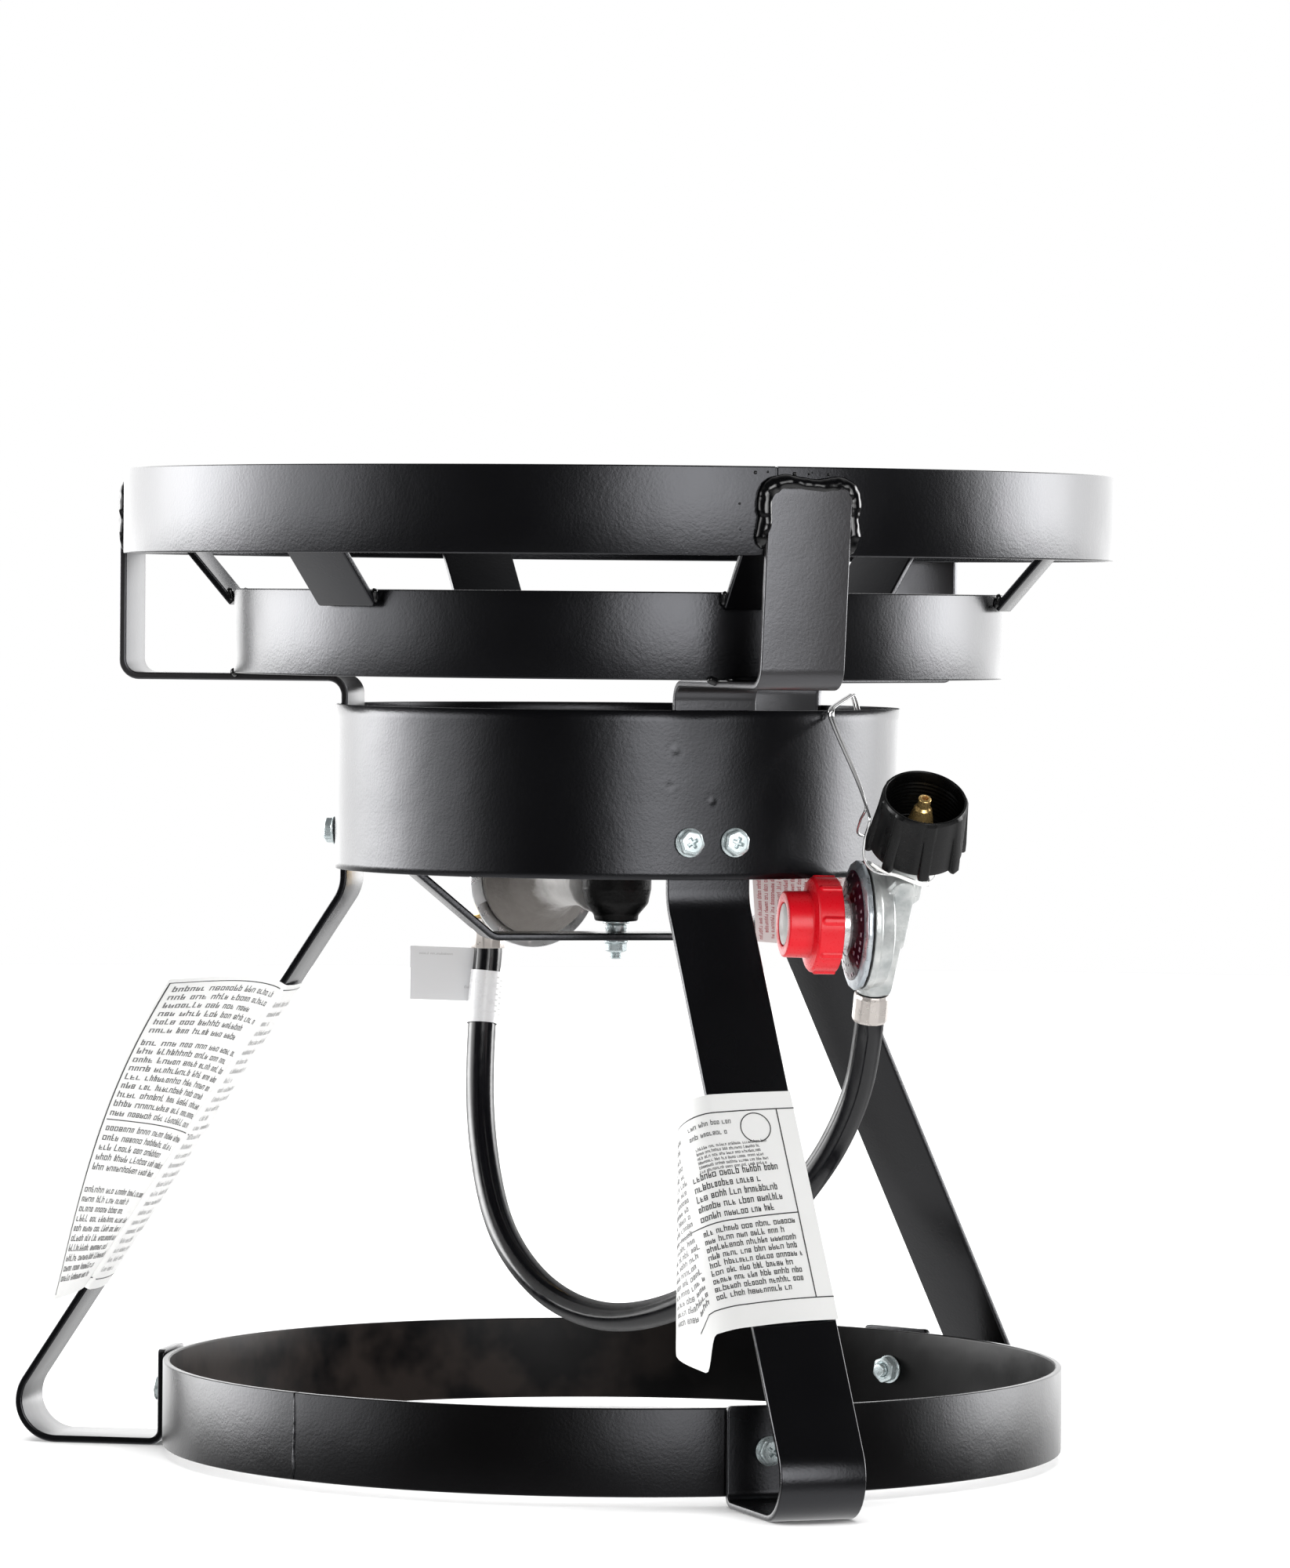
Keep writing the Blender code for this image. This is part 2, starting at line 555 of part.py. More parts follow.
HOSE = [FER_B + down * 0.8, FER_B + down * 12.0, FER_B + down * 18.0]
HOSE += [Vector(p) for p in (
    (-62.8, 110.6, 189.0), (-63.0, 98.0, 147.0), (-56.2, 73.0, 107.0), (-44.0, 52.0, 83.0),
    (-24.8, 30.0, 66.6), (0.4, 6.0, 61.0), (30.0, -20.0, 69.6), (57.5, -40.0, 90.4),
    (85.0, -58.0, 125.6), (99.0, -67.0, 148.2), (108.4, -76.0, 173.0))]
HOSE += [FER_R + D * 17.0, FER_R + D * 12.0, FER_R + D * 0.8]
cord("gas_hose", smooth_path(HOSE, 40), 6.5, 2)

# ---- hanger wire --------------------------------------------------------------------------
WT = tangent(47.0)
WR = 0.6


def neck(s, ang, r):
    """A point round the inlet's neck at height s: ang 0 is on the knob's side, 90 the front."""
    a = math.radians(ang)
    F2 = U.cross(K).normalized()
    if F2.y > 0:
        F2 = -F2
    return PIN + U * s + (K * math.cos(a) + F2 * math.sin(a)) * r


def strand(side):
    """From the wire's end inside the shield, up to its bend and down over the rim."""
    return [Vector(p) + WT * side for p in (
        (107.6, -54.0, 333.5), (106.4, -57.0, 340.0), (104.2, -61.0, 344.8),
        (99.5, -73.5, 343.2), (95.4, -84.6, 341.2), (94.4, -88.6, 338.6))]


wire = strand(-1.1)
wire += [neck(68, 14, 24.6), neck(54, 16, 25.6), neck(44, 20, 25.6), neck(39.4, 30, 21.0)]
wire += [neck(37.6, 54, 13.0), neck(34.8, 90, 10.4), neck(29.6, 135, 9.9), neck(26.4, 180, 9.6),
         neck(29.6, 230, 9.9), neck(35.6, 275, 12.0), neck(39.4, 312, 19.0)]
wire += [neck(44, 330, 25.6), neck(54, 338, 25.6), neck(68, 342, 25.6)]
wire += list(reversed(strand(1.1)))


def rounded(keys, per=2):
    """Points on a smooth curve through keys that never swings wider than its own stretches."""
    n = len(keys)
    tan = [(keys[min(i + 1, n - 1)] - keys[max(i - 1, 0)]).normalized() for i in range(n)]
    out = []
    for i in range(n - 1):
        a, b = keys[i], keys[i + 1]
        h = (b - a).length
        for k in range(per):
            t = k / per
            out.append(a * (2 * t ** 3 - 3 * t * t + 1) + tan[i] * (h * (t ** 3 - 2 * t * t + t))
                       + b * (3 * t * t - 2 * t ** 3) + tan[i + 1] * (h * (t ** 3 - t * t)))
    out.append(keys[-1])
    return out


cord("hanger_wire", rounded(wire, 2), WR, 1)
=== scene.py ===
"""The looks of the propane burner stand: painted strap steel, zinc screws, cast burner, gas
regulator with its red knob, hose, hanger wire and paper labels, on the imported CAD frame.
Shapes are written in millimetres from the stand's upright axis, as the CAD source has them, and
SX, SY is where that axis stands in the shared frame."""

import json
from math import acos, atan2, cos, degrees, exp, hypot, pi, radians, sin, sqrt, tan

import bpy
from mathutils import Matrix, Vector, noise
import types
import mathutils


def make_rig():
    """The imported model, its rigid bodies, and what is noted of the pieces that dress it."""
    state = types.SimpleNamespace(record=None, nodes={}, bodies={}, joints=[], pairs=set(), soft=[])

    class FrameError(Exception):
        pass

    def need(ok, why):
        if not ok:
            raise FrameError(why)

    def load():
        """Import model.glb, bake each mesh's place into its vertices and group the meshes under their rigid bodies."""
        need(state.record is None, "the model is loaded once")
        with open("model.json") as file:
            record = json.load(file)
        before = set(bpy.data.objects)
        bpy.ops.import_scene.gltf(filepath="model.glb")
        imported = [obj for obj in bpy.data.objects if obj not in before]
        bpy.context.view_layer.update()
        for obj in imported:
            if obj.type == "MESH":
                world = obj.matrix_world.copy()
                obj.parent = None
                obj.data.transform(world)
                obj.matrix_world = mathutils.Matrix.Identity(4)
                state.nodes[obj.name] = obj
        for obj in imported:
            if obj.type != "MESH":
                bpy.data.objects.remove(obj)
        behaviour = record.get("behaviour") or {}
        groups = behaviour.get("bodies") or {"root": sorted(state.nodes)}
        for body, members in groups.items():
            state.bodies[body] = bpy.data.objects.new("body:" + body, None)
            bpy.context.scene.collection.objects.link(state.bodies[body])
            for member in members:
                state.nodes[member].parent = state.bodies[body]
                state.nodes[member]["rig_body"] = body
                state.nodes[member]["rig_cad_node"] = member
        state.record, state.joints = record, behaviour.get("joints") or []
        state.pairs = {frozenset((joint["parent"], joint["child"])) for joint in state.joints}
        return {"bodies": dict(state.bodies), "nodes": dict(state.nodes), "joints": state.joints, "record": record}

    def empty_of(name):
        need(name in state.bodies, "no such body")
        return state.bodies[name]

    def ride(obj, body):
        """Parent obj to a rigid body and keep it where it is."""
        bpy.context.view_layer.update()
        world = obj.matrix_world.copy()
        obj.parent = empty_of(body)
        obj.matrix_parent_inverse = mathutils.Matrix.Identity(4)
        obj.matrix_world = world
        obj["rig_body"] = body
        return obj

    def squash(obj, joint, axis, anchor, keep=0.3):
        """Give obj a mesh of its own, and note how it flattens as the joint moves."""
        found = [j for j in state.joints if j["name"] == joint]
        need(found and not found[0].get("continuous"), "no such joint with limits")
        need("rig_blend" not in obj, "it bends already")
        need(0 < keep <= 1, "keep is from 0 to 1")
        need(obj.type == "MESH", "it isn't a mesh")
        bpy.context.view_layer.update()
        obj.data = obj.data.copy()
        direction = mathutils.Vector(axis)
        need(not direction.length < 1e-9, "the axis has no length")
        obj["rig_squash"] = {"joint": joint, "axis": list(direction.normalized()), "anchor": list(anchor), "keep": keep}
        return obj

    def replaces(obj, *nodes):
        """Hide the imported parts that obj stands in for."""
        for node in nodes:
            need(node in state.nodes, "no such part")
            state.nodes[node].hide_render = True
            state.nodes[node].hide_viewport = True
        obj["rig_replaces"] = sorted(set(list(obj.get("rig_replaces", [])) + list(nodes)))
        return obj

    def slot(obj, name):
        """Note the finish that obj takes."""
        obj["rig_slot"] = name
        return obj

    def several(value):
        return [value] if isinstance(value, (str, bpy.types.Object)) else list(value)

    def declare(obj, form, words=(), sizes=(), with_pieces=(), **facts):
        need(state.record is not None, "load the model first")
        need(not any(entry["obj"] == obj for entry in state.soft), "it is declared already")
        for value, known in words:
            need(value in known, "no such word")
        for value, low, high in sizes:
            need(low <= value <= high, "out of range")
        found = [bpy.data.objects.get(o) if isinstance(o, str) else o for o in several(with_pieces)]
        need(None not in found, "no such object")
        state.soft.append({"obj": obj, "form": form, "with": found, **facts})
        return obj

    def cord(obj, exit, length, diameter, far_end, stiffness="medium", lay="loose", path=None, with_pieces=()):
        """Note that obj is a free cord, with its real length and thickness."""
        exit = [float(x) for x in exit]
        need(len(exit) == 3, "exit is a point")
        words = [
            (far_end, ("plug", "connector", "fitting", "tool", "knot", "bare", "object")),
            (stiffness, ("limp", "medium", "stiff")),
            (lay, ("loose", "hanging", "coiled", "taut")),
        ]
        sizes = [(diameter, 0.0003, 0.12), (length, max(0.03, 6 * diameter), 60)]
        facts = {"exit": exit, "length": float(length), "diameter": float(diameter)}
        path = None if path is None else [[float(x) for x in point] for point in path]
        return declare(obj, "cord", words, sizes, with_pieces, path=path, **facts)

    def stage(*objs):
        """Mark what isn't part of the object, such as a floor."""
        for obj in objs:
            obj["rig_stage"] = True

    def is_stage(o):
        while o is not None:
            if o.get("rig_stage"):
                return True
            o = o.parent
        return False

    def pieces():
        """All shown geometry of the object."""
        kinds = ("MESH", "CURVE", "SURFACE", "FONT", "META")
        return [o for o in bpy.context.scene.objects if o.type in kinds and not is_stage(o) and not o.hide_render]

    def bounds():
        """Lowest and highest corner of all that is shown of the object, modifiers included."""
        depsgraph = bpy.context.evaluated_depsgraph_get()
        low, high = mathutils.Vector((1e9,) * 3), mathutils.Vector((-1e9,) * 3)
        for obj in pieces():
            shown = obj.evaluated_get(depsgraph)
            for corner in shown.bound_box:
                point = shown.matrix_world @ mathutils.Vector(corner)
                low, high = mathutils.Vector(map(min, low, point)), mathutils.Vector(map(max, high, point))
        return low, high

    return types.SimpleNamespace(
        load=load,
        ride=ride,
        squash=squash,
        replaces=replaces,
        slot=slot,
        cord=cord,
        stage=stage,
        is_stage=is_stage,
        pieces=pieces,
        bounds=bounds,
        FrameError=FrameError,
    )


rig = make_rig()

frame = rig.load()
box_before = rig.bounds()

MM = 0.001
SX, SY = 24.7, 20.2
AXIS = Vector((0, 0, 0))
SIDE, FRONT, UP = Vector((1, 0, 0)), Vector((0, -1, 0)), Vector((0, 0, 1))
DOWN = -UP

# ---- driving dimensions, as in the CAD ------------------------------------------------------
STRAP_W, STRAP_T = 38.1, 3.2
T2 = STRAP_T / 2
LEGS = {"front": 19.2, "left": -100.0, "right": 139.2}
ARMS = {"front": 20.3, "left": -99.6, "right": 140.3}
CRADLE_AZ = (20.5, 78.0, 140.5, 200.5, 260.5, -42.0)
BASE_R, BASE_Z0, BASE_Z1, BASE_SEAM = 203.5, 4.3, 42.4, -42.4
SHIELD_R, SHIELD_T, SHIELD_Z0, SHIELD_Z1 = 127.5, 1.6, 265.0, 339.0
LOW_R, LOW_Z0, LOW_Z1, LOW_SEAM = 173.7, 352.6, 390.6, 170.0
TOP_R, TOP_Z0, TOP_Z1, TOP_SEAM = 223.7, 406.0, 444.0, 17.5
LEG_IN, TAB_IN = 124.1, 204.0
SCREW_Z, TAB_SCREW_Z, SCREW_PITCH = 281.3, 24.0, 21.0
GAS_Z, BRACE_Z = 259.0, 233.3


def radial(az):
    """The way outwards at azimuth az, in degrees round from the front."""
    return Vector((sin(radians(az)), -cos(radians(az)), 0))


def tangent(az):
    return Vector((cos(radians(az)), sin(radians(az)), 0))


def turned(x, y, deg, r=1.0):
    """r times the way that is turned deg from x towards y."""
    return x * (r * cos(radians(deg))) + y * (r * sin(radians(deg)))


def world(p):
    return Vector(((p[0] + SX) * MM, (p[1] + SY) * MM, p[2] * MM))


def clamp(v):
    return max(0.0, min(1.0, v))


def ease(v):
    """From 0 to 1 as v goes from 0 to 1, level at both ends."""
    v = clamp(v)
    return v * v * (3 - 2 * v)


def off(a, at=0.0, per=360.0):
    """How far angle a is past the nearest of at, at + per, at + 2 per and so on."""
    return (a - at + per / 2) % per - per / 2


def uneven(a, k, h):
    """Slow noise round a turned piece at angle a, faster with a larger k."""
    return noise.noise(Vector((cos(radians(a)) * k, sin(radians(a)) * k, h)))


# ---- materials ------------------------------------------------------------------------------
def add_node(tree, kind, ins=(), **settings):
    """A new shader node. ins gives its inputs, by place or by name, a value or another output."""
    n = tree.nodes.new(kind)
    for k, v in settings.items():
        setattr(n, k, v)
    for k, v in ins.items() if isinstance(ins, dict) else enumerate(ins):
        if isinstance(v, bpy.types.NodeSocket):
            tree.links.new(v, n.inputs[k])
        else:
            n.inputs[k].default_value = v
    return n


def spread(tree, *source_and_limits, **settings):
    """Maps a value from one range to another: source, lo, hi, to_lo, to_hi."""
    return add_node(tree, "ShaderNodeMapRange", source_and_limits, **settings).outputs[0]


def ramp(tree, src, stops, interpolation="LINEAR"):
    """A colour ramp. Each stop is its place and its colour."""
    n = add_node(tree, "ShaderNodeValToRGB", [src])
    n.color_ramp.interpolation = interpolation
    els = n.color_ramp.elements
    while len(els) < len(stops):
        els.new(0.5)
    for e, (at, col) in zip(els, stops):
        e.position = at
        e.color = (*col, 1)
    return n.outputs["Color"]


class Paint:
    """One procedural material, built out of nodes."""

    def __init__(self, name, base, rough, metal=0.0, spec=0.5):
        self.mat = bpy.data.materials.new(name)
        self.mat.use_nodes = True
        self.mat.diffuse_color = (*base, 1)
        self.nt = self.mat.node_tree
        self.bsdf = self.nt.nodes["Principled BSDF"].inputs
        self.bsdf["Base Color"].default_value = (*base, 1)
        self.bsdf["Roughness"].default_value = rough
        self.bsdf["Metallic"].default_value = metal
        self.bsdf["Specular IOR Level"].default_value = spec
        self.coord = self.add("ShaderNodeTexCoord").outputs["Object"]
        self.normal = None

    def add(self, kind, ins=(), **settings):
        return add_node(self.nt, kind, ins, **settings)

    def noise(self, scale, detail=3.0, rough=0.55):
        ins = {"Vector": self.coord, "Scale": scale, "Detail": detail, "Roughness": rough}
        return self.add("ShaderNodeTexNoise", ins).outputs["Fac"]

    def mix(self, fac, a, b):
        """Colour a where fac is 0, and b where it is 1."""
        a, b = ((*c, 1) if isinstance(c, tuple) else c for c in (a, b))
        return self.add("ShaderNodeMix", {0: fac, 6: a, 7: b}, data_type="RGBA").outputs[2]

    def color(self, src):
        self.nt.links.new(src, self.bsdf["Base Color"])

    def rough(self, *source_and_limits):
        self.nt.links.new(spread(self.nt, *source_and_limits), self.bsdf["Roughness"])

    def bump(self, src, strength, depth):
        ins = {"Height": src, "Strength": strength, "Distance": depth}
        if self.normal:
            ins["Normal"] = self.normal
        self.normal = self.add("ShaderNodeBump", ins).outputs["Normal"]
        self.nt.links.new(self.normal, self.bsdf["Normal"])


def painted(name, base, rough, spec=0.5):
    """Satin powder coat: fine orange peel, a slow waviness, uneven gloss and a little dust."""
    p = Paint(name, base, rough, spec=spec)
    p.rough(p.noise(14, 3.0), 0.0, 1.0, rough - 0.07, rough + 0.07)
    dusty = spread(p.nt, p.noise(620, 2.0, 0.7), 0.77, 0.83, 0.0, 0.30)
    p.color(p.mix(dusty, base, (0.12, 0.12, 0.115)))
    p.bump(p.noise(60, 1.5), 0.10, 0.0012)
    p.bump(p.noise(760, 2.0), 0.30, 0.00018)
    p.bsdf["Specular Tint"].default_value = (0.93, 0.94, 1.0, 1)
    return p.mat


COAT = (0.0010, 0.0010, 0.0014)
POWDER = painted("powder_coat", COAT, 0.26)
# painted light: the arms are the same black coat, but their base colour is about ten times lighter so that they read
# brighter
ARM_COAT_PAINTED_LIGHT = painted("powder_coat_arm", (0.0120, 0.0108, 0.0106), 0.31, 0.95)
POWDER_BASE = painted("powder_coat_base", (0.0012, 0.0010, 0.0010), 0.27, 0.28)
POWDER_SHIELD = painted("powder_coat_shield", COAT, 0.26, 0.42)
POWDER_TOP = painted("powder_coat_upper", COAT, 0.25)


def smudged():
    """The inside of the base ring, with brown heat and handling marks on its left side."""
    p = Paint("powder_coat_smudged", (0.005, 0.005, 0.006), 0.34, spec=0.13)
    blots = p.noise(34, 3.0, 0.5)
    blot = spread(p.nt, blots, 0.40, 0.58, 1.0, 0.0)
    marks = p.mix(blot, (0.020, 0.015, 0.013), (0.0022, 0.0020, 0.0024))
    across = p.add("ShaderNodeSeparateXYZ", [p.coord]).outputs["X"]
    clean = spread(p.nt, across, 0.0, 0.08, 0.0, 1.0)
    p.color(p.mix(clean, marks, (0.0012, 0.0011, 0.0012)))
    p.rough(blots, 0.3, 0.7, 0.30, 0.42)
    p.bump(p.noise(55, 2.0), 0.14, 0.0014)
    p.bump(p.noise(260, 3.0), 0.12, 0.0002)
    return p.mat


def weld_paint():
    p = Paint("weld_bead", (0.001, 0.001, 0.0014), 0.14)
    p.rough(p.noise(90, 2.0), 0.2, 0.8, 0.08, 0.20)
    p.bump(p.noise(420, 2.0), 0.15, 0.0003)
    return p.mat


def cast(name, dark, light, rough, depth, grain, metal=0.0):
    p = Paint(name, dark, rough, metal, 0.5 if metal else 0.20)
    n = p.noise(grain, 5.0, 0.65)
    p.color(ramp(p.nt, p.noise(grain * 0.22, 4.0), [(0.35, dark), (0.68, light)]))
    p.rough(n, 0.3, 0.7, rough - 0.08, rough + 0.1)
    p.bump(p.noise(grain * 0.3, 3.0), 0.3, depth * 2)
    p.bump(n, 0.55, depth)
    return p.mat


SMUDGED, WELD = smudged(), weld_paint()
CAST_BLACK = cast("cast_black", (0.0010, 0.0010, 0.0012), (0.0032, 0.0030, 0.0030), 0.38, 0.0004, 700)
DIE_CAST = cast("die_cast", (0.33, 0.35, 0.35), (0.60, 0.61, 0.60), 0.34, 0.00036, 420, 0.55)
BONNET = cast("bonnet_metal", (0.34, 0.38, 0.42), (0.58, 0.61, 0.63), 0.30, 0.00005, 300, 0.70)
COLLAR = cast("collar_metal", (0.62, 0.62, 0.62), (0.80, 0.80, 0.80), 0.26, 0.00008, 500, 0.55)
HORN_WAY = Vector((-0.468, 0.884, 0.0))            # from the burner's middle to the gas inlet


def horn_paint():
    """Bare grey-brown casting whose narrow throat is pale and powdery, with a ragged border."""
    p = Paint("cast_grey", (0.2, 0.19, 0.18), 0.45, 0.2)
    grain = p.noise(160, 5.0, 0.65)
    brown = p.mix(p.noise(240, 3.0), (0.105, 0.094, 0.085), (0.155, 0.142, 0.130))
    pale = p.mix(grain, (0.34, 0.33, 0.32), (0.62, 0.61, 0.60))
    out = p.add("ShaderNodeVectorMath", [p.coord, HORN_WAY], operation="DOT_PRODUCT").outputs["Value"]
    ragged = p.add("ShaderNodeMath", [grain, 0.022, -0.011], operation="MULTIPLY_ADD").outputs[0]
    border = p.add("ShaderNodeMath", [ragged, out]).outputs[0]
    p.color(p.mix(spread(p.nt, border, 0.050, 0.066, 0.0, 1.0), pale, brown))
    p.rough(grain, 0.2, 0.8, 0.38, 0.58)
    p.bump(p.noise(620, 4.0, 0.6), 0.5, 0.0003)
    return p.mat


def plated(name, base, other, rough, grain=300, metal=1.0, depth=0.00006):
    p = Paint(name, base, rough, metal)
    p.color(p.mix(p.noise(grain * 0.35, 3.0), base, other))
    p.rough(p.noise(grain, 3.0), 0.3, 0.7, rough - 0.06, rough + 0.09)
    p.bump(p.noise(grain * 2.5, 2.0), 0.25, depth)
    return p.mat


HORN = horn_paint()
ZINC = plated("zinc_plate", (0.46, 0.54, 0.56), (0.62, 0.68, 0.68), 0.28, metal=0.60)
BRASS = plated("brass", (0.74, 0.48, 0.17), (0.90, 0.64, 0.28), 0.24, metal=0.82)
FERRULE = plated("ferrule_metal", (0.52, 0.48, 0.45), (0.62, 0.58, 0.55), 0.30, 140, 0.7, 0.00002)
WIRE = plated("hanger_wire", (0.62, 0.62, 0.62), (0.80, 0.80, 0.80), 0.20)
SHUTTER = plated("shutter_sheet", (0.78, 0.79, 0.80), (0.90, 0.90, 0.90), 0.30, 200)
SPRING = plated("spring_steel", (0.45, 0.45, 0.46), (0.55, 0.55, 0.55), 0.25)
STRIP = plated("hanger_strip", (0.82, 0.82, 0.80), (0.92, 0.92, 0.90), 0.34, 260, 0.25)


def plastic(name, base, rough, grain=500, depth=0.00010, var=0.12, spec=0.5, limb=0.0):
    """Moulded plastic, rubber or ink. limb is how much duller it gets where it turns edge on."""
    p = Paint(name, base, rough, spec=spec)
    n = p.noise(grain, 3.0)
    p.color(p.mix(p.noise(40, 2.0), base, tuple(c * (1 + var) + 0.001 for c in base)))
    p.rough(n, 0.3, 0.7, rough - 0.05, rough + 0.06)
    if limb:
        gloss = p.bsdf["Roughness"].links[0].from_socket
        facing = p.add("ShaderNodeLayerWeight").outputs["Facing"]
        more = spread(p.nt, facing, 0.40, 0.80, 0.0, limb)
        p.nt.links.new(p.add("ShaderNodeMath", [gloss, more]).outputs[0], p.bsdf["Roughness"])
    p.bump(n, 0.25, depth)
    return p.mat


KNOB_RED = plastic("knob_red", (0.60, 0.004, 0.012), 0.30, 1100, 0.00002, 0.02, 0.34)
KNOB_GREY = plastic("knob_insert", (0.30, 0.29, 0.28), 0.34)
NUT_BLACK = plastic("nut_black", (0.0010, 0.0010, 0.0012), 0.28, 360, 0.0001, 0.4, 0.26, 0.45)
NUT_INSIDE = plastic("nut_thread", (0.0006, 0.0006, 0.0006), 0.30, 360, 0.0001, 0.4, 0.3)
MAROON = plastic("bonnet_label", (0.022, 0.003, 0.008), 0.20, 420, 0.0004, 0.5)
SEAL = plastic("diaphragm_rubber", (0.02, 0.02, 0.02), 0.6)
HOSE_MAT = plastic("hose_rubber", (0.003, 0.003, 0.004), 0.16, 260, 0.00012, 0.3, 0.46, 0.52)
SLEEVE_MAT = plastic("sleeve_film", (0.66, 0.66, 0.67), 0.28, 300, 0.00006, 0.02)
INK = plastic("label_ink", (0.035, 0.035, 0.035), 0.5)
INK_FINE = plastic("label_ink_fine", (0.10, 0.10, 0.10), 0.5)
INK_RED = plastic("tag_ink", (0.50, 0.13, 0.14), 0.5)
INK_PALE = plastic("pale_ink", (0.42, 0.42, 0.42), 0.5)
INK_LABEL = plastic("bonnet_ink", (0.26, 0.17, 0.20), 0.3)


def paper(name, base):
    p = Paint(name, base, 0.52, spec=0.35)
    fibre = p.noise(900, 4.0, 0.7)
    p.color(p.mix(p.noise(30, 3.0), base, tuple(c * 0.965 for c in base)))
    p.rough(fibre, 0.3, 0.7, 0.45, 0.62)
    p.bump(fibre, 0.18, 0.00005)
    p.bump(p.noise(45, 2.0), 0.12, 0.0012)
    return p.mat


PAPER = paper("label_paper", (0.77, 0.77, 0.76))
FLAG_PAPER = paper("flag_paper", (0.66, 0.66, 0.67))
PINK_PAPER = paper("tag_paper", (0.80, 0.70, 0.69))

# ---- mesh helpers ---------------------------------------------------------------------------
# The record's finish that each material stands for. Paper and ink have none.
OWN_SLOT = """powder_coat cast_black cast_grey zinc_plate die_cast bonnet_metal knob_red knob_insert
nut_black brass ferrule_metal hose_rubber spring_steel"""
SLOT_OF = {name: name for name in OWN_SLOT.split()}
SLOT_OF.update({f"powder_coat_{part}": "powder_coat" for part in ("smudged", "arm", "base", "shield",
                                                                  "upper")})
SLOT_OF.update(weld_bead="powder_coat", hanger_wire="spring_steel", hanger_strip="spring_steel",
               shutter_sheet="zinc_plate")


def placed(ob, mat, body="stand", node=None):
    """Puts a new piece on its body, with its material's slot and the CAD node it stands for."""
    bpy.context.scene.collection.objects.link(ob)
    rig.ride(ob, body)
    if mat.name in SLOT_OF:
        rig.slot(ob, SLOT_OF[mat.name])
    if node:
        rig.replaces(ob, node)
    return ob


def mesh_of(name, verts, faces, *mats):
    me = bpy.data.meshes.new(name)
    me.from_pydata(verts, [], faces)
    for m in mats:
        me.materials.append(m)
    return me


def make(name, verts, faces, mat, body="stand", smooth=40.0, other=None, tags=None, node=None):
    """A mesh piece in millimetres from the stand's axis. Faces whose tag is 1 have the material
    other, and edges sharper than smooth degrees stay sharp."""
    me = mesh_of(name, [world(v) for v in verts], faces, *([mat, other] if other else [mat]))
    if tags:
        me.polygons.foreach_set("material_index", tags)
    me.update()
    me.shade_smooth()
    me.set_sharp_from_angle(angle=radians(smooth))
    return placed(bpy.data.objects.new(name, me), mat, body, node)


def basis(z, xhint=SIDE):
    """Three directions square to each other: near xhint, across, and along z."""
    z = Vector(z).normalized()
    x = xhint - z * xhint.dot(z)
    if x.length < 1e-4:
        x = -FRONT - z * z.y
    x.normalize()
    return x, z.cross(x), z


def fillet(pts, radii, n=4, closed=True):
    """Rounds the corners of a 2-D outline. radii is one number or one for each corner."""
    out, m = [], len(pts)
    for i, p in enumerate(pts):
        r = radii if isinstance(radii, (int, float)) else radii[i]
        if r <= 0 or (not closed and i in (0, m - 1)):
            out.append(tuple(p))
            continue
        p = Vector(p)
        a = Vector(pts[i - 1]) - p
        b = Vector(pts[(i + 1) % m]) - p
        la, lb = a.length, b.length
        a, b = a / la, b / lb
        half = acos(max(-1.0, min(1.0, a.dot(b)))) / 2
        if not 0.02 < half < radians(88):
            out.append(tuple(p))
            continue
        d = min(r / tan(half), 0.48 * la, 0.48 * lb)
        r = d * tan(half)
        c = p + (a + b).normalized() * (r / sin(half))
        s, e = p + a * d - c, p + b * d - c
        a0 = atan2(s.y, s.x)
        da = (atan2(e.y, e.x) - a0 + pi) % (2 * pi) - pi
        for k in range(n + 1):
            t = a0 + da * k / n
            out.append((c.x + r * cos(t), c.y + r * sin(t)))
    return out


def divided(prof, parts):
    """prof with some of its sides cut up. parts(p, q) says into how many, and how deep a thread
    runs along them."""
    out = []
    for p, q in zip(prof, prof[1:] + prof[:1]):
        n, deep = parts(p, q)
        out.append(p)
        for i in range(1, n):
            thread = deep if i % 4 in (1, 2) else 0.0
            out.append((p[0] + (q[0] - p[0]) * i / n + thread, p[1] + (q[1] - p[1]) * i / n))
    return out


def lathe(name, prof, at, axis, mat, seg=96, xhint=SIDE, loop=True, shape=None, turns=None, slot=None,
          **more):
    """A turned piece. prof is [(radius, height)]. With loop it closes round a bore, otherwise its
    ends lie on the axis. shape(angle, r, h) may move a point, and slot(r, h) is a face's tag."""
    x, y, z = basis(axis, xhint)
    angs = turns or [360.0 * i / seg for i in range(seg)]
    n = len(angs)
    area = sum(p[0] * q[1] - q[0] * p[1] for p, q in zip(prof, prof[1:] + prof[:1]))
    prof = list(reversed(prof)) if area < 0 else list(prof)
    verts, faces, rows, tags = [], [], [], []
    for j, (r, h) in enumerate(prof):
        start = len(verts)
        if not loop and j in (0, len(prof) - 1):
            verts.append(at + z * h)
        else:
            for a in angs:
                rr, hh = shape(a, r, h) if shape else (r, h)
                verts.append(at + turned(x, y, a, rr) + z * hh)
        rows.append(range(start, len(verts)))
    for j in range(len(rows) if loop else len(rows) - 1):
        a, b = rows[j], rows[(j + 1) % len(rows)]
        p, q = prof[j], prof[(j + 1) % len(rows)]
        for i in range(n):
            k = (i + 1) % n
            if len(a) == 1:
                faces.append((a[0], b[k], b[i]))
            elif len(b) == 1:
                faces.append((a[i], a[k], b[0]))
            else:
                faces.append((a[i], a[k], b[k], b[i]))
        if slot:
            tags += [slot((p[0] + q[0]) / 2, (p[1] + q[1]) / 2)] * n
    return make(name, verts, faces, mat, tags=tags, **more)


